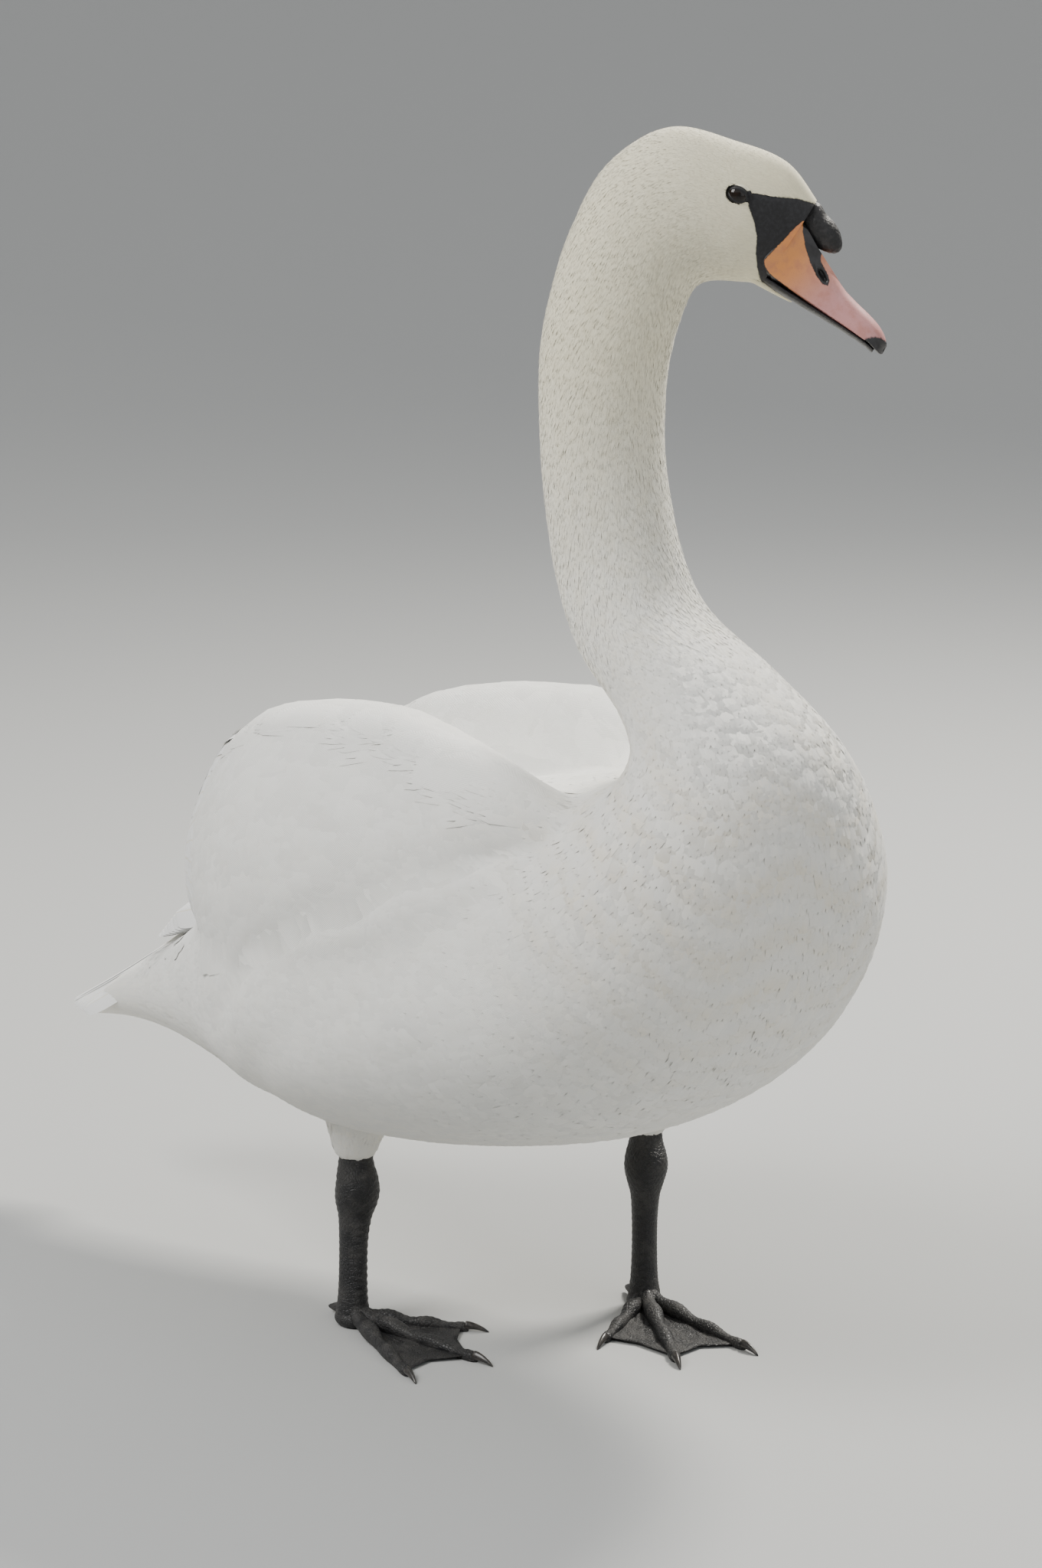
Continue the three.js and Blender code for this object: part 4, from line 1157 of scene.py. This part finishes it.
soft_vane = vane((0.0, 0.4, 0.78), (0.5, 1.0, 0.72), 3)
for name, count, low_u, high_u, long, wide, seed in (
        ("coat_lower_neck", 9400, 10.6, 13.2, 21, 8.5, 21),
        ("coat_breast", 9400, 7.6, 10.9, 26, 11.5, 22),
        ("coat_belly", 9400, 0.2, 7.9, 42, 19.0, 23)):
    weight = smooth_step(neck_u, low_u - 0.3, low_u + 0.3) * (
        1 - smooth_step(neck_u, high_u - 0.3, high_u + 0.3))
    weight = weight * (1 - 0.9 * in_wing) * (1 - wing_end)
    row, column = scattered(body, count, weight, seed)
    dice = np.random.default_rng(seed + 100)
    wave, wave_slope = ripple(row, column)
    size = dice.uniform(0.8, 1.15, count)
    high = 0.86 + 0.05 * dice.uniform(0, 1, count) + 0.2 * wave
    flat = pressed(row, column, 1.0)
    size = size * (1 - 0.55 * flat)
    layer = laid(body, row, column, long * size, wide * size, dice.normal(0, 0.10, count),
                 0.62 - 0.5 * flat, high * (1 - flat) + 0.14 * flat, 0.04 * wide * (1 - flat),
                 soft_vane, seed, slope=0.45 * wave_slope, roll=0.1)
    coat_piece(name, [layer], feather_paint)

# ---------------------------------------------------------------------------------------
# Wing coverts and scapulars.
# Broad smooth vanes that overlap from the wrist of each folded wing to its rear. The scapulars
# fall from the back over the wing's top edge, and end there in a ragged fringe.

broad_vane = vane((0.0, 0.28, 0.55, 0.8, 0.93), (0.4, 0.9, 1.0, 0.86, 0.6), 5)
x_of, y_of, z_of = (flat_skin[..., k] for k in range(3))
outer_wing = smooth_step(in_wing, 0.35, 0.65)


def wing_layer(count, weight, long, wide, seed, swing=0.0, low=0.6, high=0.92, bow=0.0,
               spread=0.06, shape=broad_vane, dive=0.65):
    """Feathers on the folded wings or the back, swung towards the bird's middle by swing. They
    shorten towards the wing's end, so that none stands out past it."""
    row, column = scattered(body, count, weight, seed)
    dice = np.random.default_rng(seed + 100)
    shorter = np.clip((looked_up(x_of, row, column) + 240) / 110, 0.35, 1)
    size = dice.uniform(0.88, 1.1, count) * shorter
    left = np.where(column < SIDES / 2, 1.0, -1.0)
    flat = pressed(row, column, 0.0)
    low, high = low - (low - 0.15) * flat, high + dice.uniform(-0.06, 0.1, count)
    return laid(body, row, column, long * size, wide * size,
                -swing * left + dice.normal(0, spread, count), low,
                high - (high - 0.3) * flat, 0.04 * wide * (1 - flat), shape, seed,
                bow=bow * dice.uniform(0.3, 1.3, count) * (1 - flat), lean=(-0.06, 0.26),
                roll=0.12, dive=dive)


small = wing_layer(2600, outer_wing * (x_of > 20), 34, 15, 31)
large = wing_layer(1500, outer_wing * (x_of <= 60) * (x_of > -172), 62, 27, 32)
coat_piece("coat_wing", [small, large], feather_paint)

# Scapulars along the inner edge of each wing, and the feathers of the middle of the back.
inner_edge = smooth_step(blend, 1.5, 8) * (1 - smooth_step(in_wing, 0.9, 1.0) * 0.4) * (
    np.cos(grid_theta) > 0.25) * (x_of > -115) * (x_of < 140) * (np.abs(y_of) < 105)
scapulars = wing_layer(520, inner_edge, 84, 32, 33, swing=0.12, low=0.75, high=1.2, bow=0.8)
long_ones = wing_layer(80, inner_edge * (x_of < 10) * (x_of > -85), 98, 36, 34, swing=0.08,
                       low=0.85, high=1.25, bow=1.5)
# A ragged fringe of narrow feathers where they end over the wing's outer face.
ridge_z = np.interp(x_of, [-30, 40, 90, 120, 150], [450, 446, 437, 428, 408])
crest = outer_wing * bell(z_of, ridge_z, 7) * (np.abs(y_of) > 96) * (x_of > -10) * (x_of < 150)
fringe = wing_layer(300, crest, 52, 11, 37, low=0.8, high=1.08, bow=0.3, spread=0.12,
                    shape=soft_vane, dive=0.55)
coat_piece("coat_scapulars", [scapulars, long_ones, fringe], feather_paint)

# ---------------------------------------------------------------------------------------
# Flight feathers.
# Stiff long vanes. The inner ones close over the blunt rear end of each folded wing, and the
# primaries come out in a narrow stack from under them and cross low over the tail's base.

VANE_ROWS, VANE_COLUMNS = 15, 9
VANE_THICKNESS = 0.7
# How high up the unwrap the strips of the long feathers lie.
STRIP_HEIGHT = 0.8725
along_vane = np.linspace(0, 1, VANE_ROWS)


def drooping(root, tip, sag):
    """Spines from root points to tip points, parabolas that sag in the middle."""
    s = along_vane[:, None]
    spine = root[:, None] * (1 - s) + tip[:, None] * s
    spine[..., 2] -= sag * 4 * along_vane * (1 - along_vane)
    return spine


def flight_piece(name, spine, wide, lift, strip, nodes=(), flat=1.0, taper=0.0):
    """Long feathers along their spines, in one object. Each vane is a sheet across its spine,
    arched over the shaft, narrow at the quill and round at the tip, with a raised shaft and an
    underside a little below it. Each has its own small place in a strip of the unwrap."""
    s, t = along_vane[:, None], np.linspace(-1, 1, VANE_COLUMNS)
    count, wide = len(spine), np.broadcast_to(wide, len(spine))[:, None, None]
    ahead = unit(np.gradient(spine, axis=1))
    up = unit(lift - (lift * ahead).sum(-1, keepdims=True) * ahead)
    side = np.cross(ahead, up)
    tip_round = np.sqrt(np.clip(1 - np.clip((s - 0.72) / 0.29, 0, 1) ** 2.3, 0, 1))
    outline = np.minimum(1, 0.45 + 1.6 * s) * tip_round
    outline = np.maximum(outline * (1 - taper * s**2), 0.03)
    across = wide / 2 * outline * t
    arch = flat * wide * (0.10 * (1 - t**2) - 0.05) * np.minimum(1, 0.4 + outline)
    arch = arch + (0.4 if taper else 0.9) * bell(t, 0, 0.1) * (1 - 0.8 * s)
    side, up = side[:, :, None], up[:, :, None]
    top = spine[:, :, None] + side * across[..., None] + up * arch[..., None]
    under = top - up * VANE_THICKNESS
    under[:, :, 0], under[:, :, -1] = top[:, :, 0], top[:, :, -1]
    i, j = grid_cells(VANE_ROWS - 1, VANE_COLUMNS - 1)
    a = (i * VANE_COLUMNS + j).ravel()
    b = a + VANE_COLUMNS
    upper = np.concatenate([np.stack([a, b + 1, a + 1], -1), np.stack([a, b, b + 1], -1)])
    sheet = VANE_ROWS * VANE_COLUMNS
    faces = np.concatenate([upper, upper[:, ::-1] + sheet])
    faces = faces[None] + (np.arange(count) * 2 * sheet)[:, None, None]
    vane_map = np.broadcast_to(np.stack(np.broadcast_arrays(0.5 + 0.5 * t, s), -1),
                               (count, 2, VANE_ROWS, VANE_COLUMNS, 2)).reshape(-1, 2)
    which = np.arange(count * 2 * sheet) // (2 * sheet)
    home = np.stack([strip[0] + (strip[1] - strip[0]) * (which + 0.5) / count,
                     np.full(len(which), STRIP_HEIGHT)], -1)
    luck = np.random.default_rng(len(which)).uniform(0.96, 1.02, count)[which]
    coat_piece(name, [{
        "points": np.stack([top, under], 1).reshape(-1, 3), "faces": faces.reshape(-1, 3),
        "colour": np.array([0.86, 0.862, 0.85]) * luck[:, None], "vane": vane_map,
        "OFBake": home + PATCH_SIZE / 2 * (2 * vane_map - 1)}],
        flight_paint, nodes)


flight_paint, shader = paint("flight_paint", 0.6, sheen=0.1, specular=0.35)
beside, waves = barbs(flight_paint, 0.35, 520.0)
finish_surface(flight_paint, shader, blend_colour(
    flight_paint, ramp(flight_paint, beside, 0.02, 0.035, 1.0, 0.0),
    attribute(flight_paint, "plumage").outputs["Color"], (0.79, 0.76, 0.67)),
    bump=waves, strength=0.3, deep=0.0003)


def wing_point(side, x, angle, lift):
    """A point over a folded wing: on its ring at x, at an angle from the top towards the outer
    face, raised by lift. Also the way out of the surface there."""
    out, level, tall, thick, c, s = wing_ring(x, side)
    swell, rise = (thick + lift) * np.sin(angle), (tall + lift) * np.cos(angle)
    a, b = np.sin(angle) / thick, np.cos(angle) / tall
    return (points_at(x + BOX_SHIFT, side * (out + swell * c - rise * s),
                      level + rise * c + swell * s),
            unit(points_at(-0.9 * np.hypot(a, b) * smooth_step(-x, 190, 265),
                           side * (a * c - b * s), b * c + a * s)))


# Two ranks on each wing, from its lower edge round its outer face to its top: where their roots
# lie, how many there are and how wide.
spines, ways, widths = [], [], []
for side in (1, -1):
    for rank, (start, count, wide) in enumerate(((-176, 17, 31), (-140, 15, 28))):
        dice = np.random.default_rng(35 + side + 5 * rank)
        s = along_vane
        angle = np.radians(np.linspace(152, -22, count) + dice.uniform(-2, 2, count))[:, None]
        free = bell(np.degrees(angle), 60, 45)
        end = -261 - 6 * free + 42 * rank + dice.uniform(-4, 4, (count, 1))
        x = end - (end - start) * (1 - s) ** (1.6 - 0.4 * rank)
        # The lower rank rises off the wing at once, the upper one where it lies on the lower.
        lift = 3.3 * smooth_step(s, 0, 0.25) - 9.6 + 1.5 * free * s**3
        if rank:
            lift = 6.6 * smooth_step(s, 0.1, 0.68) - 12.4
        lift = lift + 0.2 * (np.arange(count)[:, None] % 2) - 2.2 * smooth_step(-angle, -0.3, 0.4)
        point, way = wing_point(side, x, angle * (1 - 0.12 * s) + 0.1 * s, lift)
        ahead = unit(np.gradient(point, axis=1))
        spines.append(point)
        ways.append(way + 0.05 * side * np.cross(way, ahead))
        widths.append(np.full(count, wide))
flight_piece("wing_end_feathers", np.concatenate(spines), np.concatenate(widths),
             np.concatenate(ways), (0.5, 0.95), flat=0.35, taper=0.55)

# Seven primaries on each side, from the outermost to the innermost and longest.
rank = np.arange(7) / 6.0
for name, side, strip in (("left", 1, (0.02, 0.11)), ("right", -1, (0.12, 0.21))):
    raised = WING_RAISED[side]
    root = points_at(-215 + 10 * rank + BOX_SHIFT, side * (44 - 12 * rank),
                     280 + raised - 10 * rank)
    tip = points_at(-318 - 44 * rank + BOX_SHIFT, side * (30 - 20 * rank),
                    243 + raised * (1 - rank) - 23 * rank)
    lift = points_at(0.35, side * (0.75 - 0.6 * rank), 0.75)
    flight_piece(f"primary_feathers_{name}", drooping(root, tip, 2.0), 30 - 6 * rank,
                 lift[:, None], strip, [f"primaries_{name}"])

# ---------------------------------------------------------------------------------------
# Tail.
# A short pointed fan of stiff feathers, the middle pair on top, with a few tips splayed.

fan = np.linspace(-1, 1, 18)
order = np.abs(fan)
root = points_at(-318 + BOX_SHIFT, 25 * fan, 239 - 3 * order - 12 * order**2)
tip = points_at(-478 + 52 * order**1.6 + BOX_SHIFT,
                15 * fan + 22 * fan * order**0.5
                + np.random.default_rng(5).uniform(-2.5, 2.5, len(fan)),
                145.5 - 2.5 * order + 10 * order**1.4)
flight_piece("tail_feathers", drooping(root, tip, 3.0), 27,
             points_at(0.35, 0.5 * fan, 0.9)[:, None], (0.25, 0.45), ["tail"])

# ---------------------------------------------------------------------------------------
# Thigh and chin feathers.
# Short downy feathers that point down over the top of each black shank, and a few on the chin.

layers = []
for number, surface in enumerate(thighs.values()):
    row, column = scattered(surface, 1500, 1.0, 41 + number)
    dice = np.random.default_rng(51 + number)
    layers.append(laid(surface, row, column, 15 * dice.uniform(0.8, 1.2, len(row)), 6.0,
                       dice.normal(0, 0.15, len(row)), 0.3, dice.uniform(0.7, 1.1, len(row)), 0.4,
                       soft_vane, 61 + number))
coat_piece("coat_thighs", layers, feather_paint)
# Only the underside of the chin is feathered.
row, column = scattered(chin, 900, np.cos(full_turn(CHIN_SIDES)) < 0.1, 44)
swing = np.random.default_rng(45).normal(0, 0.15, len(row))
coat_piece("coat_chin", [laid(chin, row, column, 4.5, 0.9, swing, 0.3, 1.0, 0.15, blade(), 46)],
           velvet_paint)

# ---------------------------------------------------------------------------------------
# Legs, webbed feet and claws.
# Black scaly skin over bone: broad scutes down the front of each shank and over each toe, small
# rounded scales elsewhere, thin creased webs between the front toes and blunt horny claws.

# height, half depth, half width, bulge of the ankle to the front
SHANK_RINGS = np.array([
    (4, 11.5, 11.0, 0.5), (9, 12, 11.5, 0), (20, 11, 9.8, 0), (38, 10.6, 9, 0), (60, 10.8, 9, 0),
    (78, 12.4, 10.2, 1), (90, 15.4, 13, 2.4), (100, 17, 14.6, 3.2), (110, 16, 14, 2.6),
    (122, 12.8, 11.6, 1), (150, 11, 10, 0)])
TOES = {"inner": (-31, 84, 6.6), "middle": (-1, 118, 7.2), "outer": (26, 114, 6.8)}
CLAW_LENGTH = 15.0

leg_paint, shader = paint("leg_paint", 0.55, specular=0.45)
cells = node(leg_paint, "ShaderNodeTexVoronoi", {
    "Vector": node(leg_paint, "ShaderNodeTexCoord").outputs["Object"], "Scale": 420},
    feature="DISTANCE_TO_EDGE").outputs["Distance"]
dust = noise(leg_paint, 90, 4)
leg_colour = mottled(leg_paint, dust, 0.38, 0.75, (0.011, 0.011, 0.012), (0.045, 0.043, 0.041))
leg_colour = blend_colour(leg_paint, ramp(leg_paint, cells, 0.0, 0.1, 0.5, 0), leg_colour,
                          (0.006, 0.006, 0.006))
leg_colour = mottled(leg_paint, noise(leg_paint, 1300), 0.55, 0.8, leg_colour,
                     (0.075, 0.07, 0.065), 0.35)
finish_surface(leg_paint, shader, leg_colour, ramp(leg_paint, dust, 0.3, 0.8, 0.45, 0.7),
               ramp(leg_paint, cells, 0.0, 0.16), 0.6, 0.0006)
claw_paint, shader = paint("claw_paint", 0.3, specular=0.55)
striped = noise(claw_paint, 500)
finish_surface(claw_paint, shader, mottled(claw_paint, striped, 0.35, 0.75,
                                           (0.012, 0.011, 0.011), (0.06, 0.052, 0.045)),
               bump=striped, strength=0.2, deep=0.0003)


def ridged(phase, sharp=0.35):
    """Scutes in a row: each rises slowly and drops off quickly at its free edge."""
    f = np.mod(phase, 1.0)
    return np.where(f < 1 - sharp, f / (1 - sharp), (1 - f) / sharp)


def toe_point(leg, spread, along, across, up):
    """A point of a toe's frame: along it, across it and up, turned by the toe's spread."""
    angle = np.radians(spread)
    return foot_point(leg, along * np.cos(angle) - across * np.sin(angle),
                      along * np.sin(angle) + across * np.cos(angle), up)


def toe_grid(leg, spread, length, root, rows=90, columns=36):
    """Rings along a toe, swollen at its joints, sloping down to the claw, flat underneath, with
    scutes across its upper side."""
    t, turn = np.linspace(0, 1, rows)[:, None], full_turn(columns)
    swell = np.where(t < 0.99, 1 + 0.14 * np.cos(t * 6 * np.pi), 0.85)
    half = root * (1 - 0.42 * t) * swell * 0.9
    half = half * np.sqrt(np.clip(1 - ((t - 0.93) / 0.075) ** 2 * (t > 0.93), 0.12, 1))
    height = half * 0.86 + 5.5 * (1 - t) ** 3 - 0.6
    upper_side = smooth_step(np.cos(turn), 0.0, 0.6)
    scute = 0.42 * ridged(t * length / 4.6) * upper_side + 0.14 * np.sin(
        t * length * 2.2) * np.sin(turn * 9) * (1 - upper_side)
    up = height + (half + scute) * np.cos(turn)
    return toe_point(leg, spread, length * t, (half + scute) * np.sin(turn),
                     np.maximum(up, 0.05 * np.abs(np.sin(turn))))


def web_grid(leg, first, second, rows=56, columns=40):
    """The web between two toes: a thin sheet from the foot joint out to a scalloped edge, with
    creases that fan out from the joint, folded round into a closed flat tube."""
    g = np.linspace(0.06, 1, rows)[:, None]
    f = np.linspace(0, 1, columns // 2)[None, :]
    spread, reach = (first[k] + (second[k] - first[k]) * f for k in range(2))
    radius = reach * (0.94 - 0.16 * np.sin(f * np.pi)) * g
    middle = 4 * f * (1 - f)
    crease = 0.34 * np.sin(f * 34 + 2.0 * g) * np.sin(np.pi * g) * middle
    crease = crease + 0.22 * np.sin(radius / 2.4 + 3 * np.sin(f * 9)) * middle
    lift = 3.0 - 0.9 * middle + 2.6 * (1 - g) ** 2
    thick = 1.7 - 0.9 * smooth_step(g, 0.9, 1.0)
    top = toe_point(leg, spread, radius, 0, lift + crease)
    under = toe_point(leg, spread, radius, 0, np.maximum(lift + crease - thick, 0.3))
    return np.concatenate([top, under[:, ::-1]], 1)


def claw_grid(leg, spread, length, root, rows=26, columns=28):
    """A blunt claw: rings that shrink and bend down to the tip, with a keel on top."""
    t, turn = np.linspace(-0.12, 1, rows)[:, None], full_turn(columns)
    out = np.maximum(t, 0)
    half = root * 0.46 * (1 - 0.66 * out) * np.sqrt(1.01 - out**6)
    height = np.maximum(half, root * 0.44 + 1.4 - 4.2 * out**2)
    return toe_point(leg, spread, length + CLAW_LENGTH * t,
                     half * np.sin(turn) * (0.92 - 0.25 * np.maximum(np.cos(turn), 0)),
                     height + half * np.cos(turn))


def leg_piece(name, grids, material, node_name):
    """One object from closed grids of a leg, each turned so that it faces out."""
    faces = []
    for grid in grids:
        normal = np.cross(np.roll(grid, -1, 1) - grid, np.gradient(grid, axis=0))
        inward = (normal * (grid - grid.mean(1, keepdims=True))).sum() < 0
        faces.append(closed_faces(*grid.shape[:2], 1 if inward else -1))
    piece = mesh_piece(name, *joined([closed_points(grid) for grid in grids], faces))
    set_in(piece, material, [node_name])


for name, leg in LEGS.items():
    row, turn = table_rows(SHANK_RINGS, 230), full_turn(80)
    height = row[..., 0]
    ahead, outer = leg_line(leg, height)
    front_side = smooth_step(np.cos(turn + 0.25), 0.25, 0.7)
    below_ankle = 1 - smooth_step(height, 74, 88)
    scute = 0.55 * ridged(-height / 5.6) * front_side * below_ankle
    knobs = 0.28 * np.sin(height * 1.25 + 3 * (np.floor(turn * 3) % 2)) * np.sin(turn * 11)
    knobs = knobs * (1 - front_side * below_ankle)
    gnarl = 0.9 * np.sin(turn * 2 + height / 9) * bell(height, 100, 14)
    tendon = 0.8 * bell(np.cos(turn), -1, 0.12) * below_ankle
    swell = scute + knobs + gnarl + tendon
    shank = foot_point(leg, ahead + row[..., 3] + (row[..., 1] + swell) * np.cos(turn),
                       outer + (row[..., 2] + swell) * np.sin(turn), height)
    leg_piece(f"shank_skin_{name}", [shank], leg_paint, f"shank_{name}")
    toes = list(TOES.values())
    grids = [toe_grid(leg, *toe) for toe in toes]
    grids += [web_grid(leg, toes[0], toes[1]), web_grid(leg, toes[1], toes[2])]
    # The small hind toe points back and down, and a pad lies under the foot joint.
    t, turn = np.linspace(0, 1, 30)[:, None], full_turn(24)
    half = 4.4 * (1 - 0.8 * t**2.5) + 0.2 * ridged(t * 6)
    grids.append(foot_point(leg, -6 - 24 * t, -3 - 4 * t + half * np.sin(turn),
                            np.maximum(9 - 5.0 * t + half * np.cos(turn), 0.1)))
    ball = ball_grid(30, 40)
    grids.append(foot_point(leg, 2 + 15 * ball[..., 0], 13 * ball[..., 1],
                            np.maximum(5 + 8 * ball[..., 2], 0.0)))
    leg_piece(f"foot_skin_{name}", grids, leg_paint, f"foot_{name}")
    for toe_name, toe in TOES.items():
        leg_piece(f"claw_tip_{name}_{toe_name}", [claw_grid(leg, *toe)], claw_paint,
                  f"claw_{name}_{toe_name}")
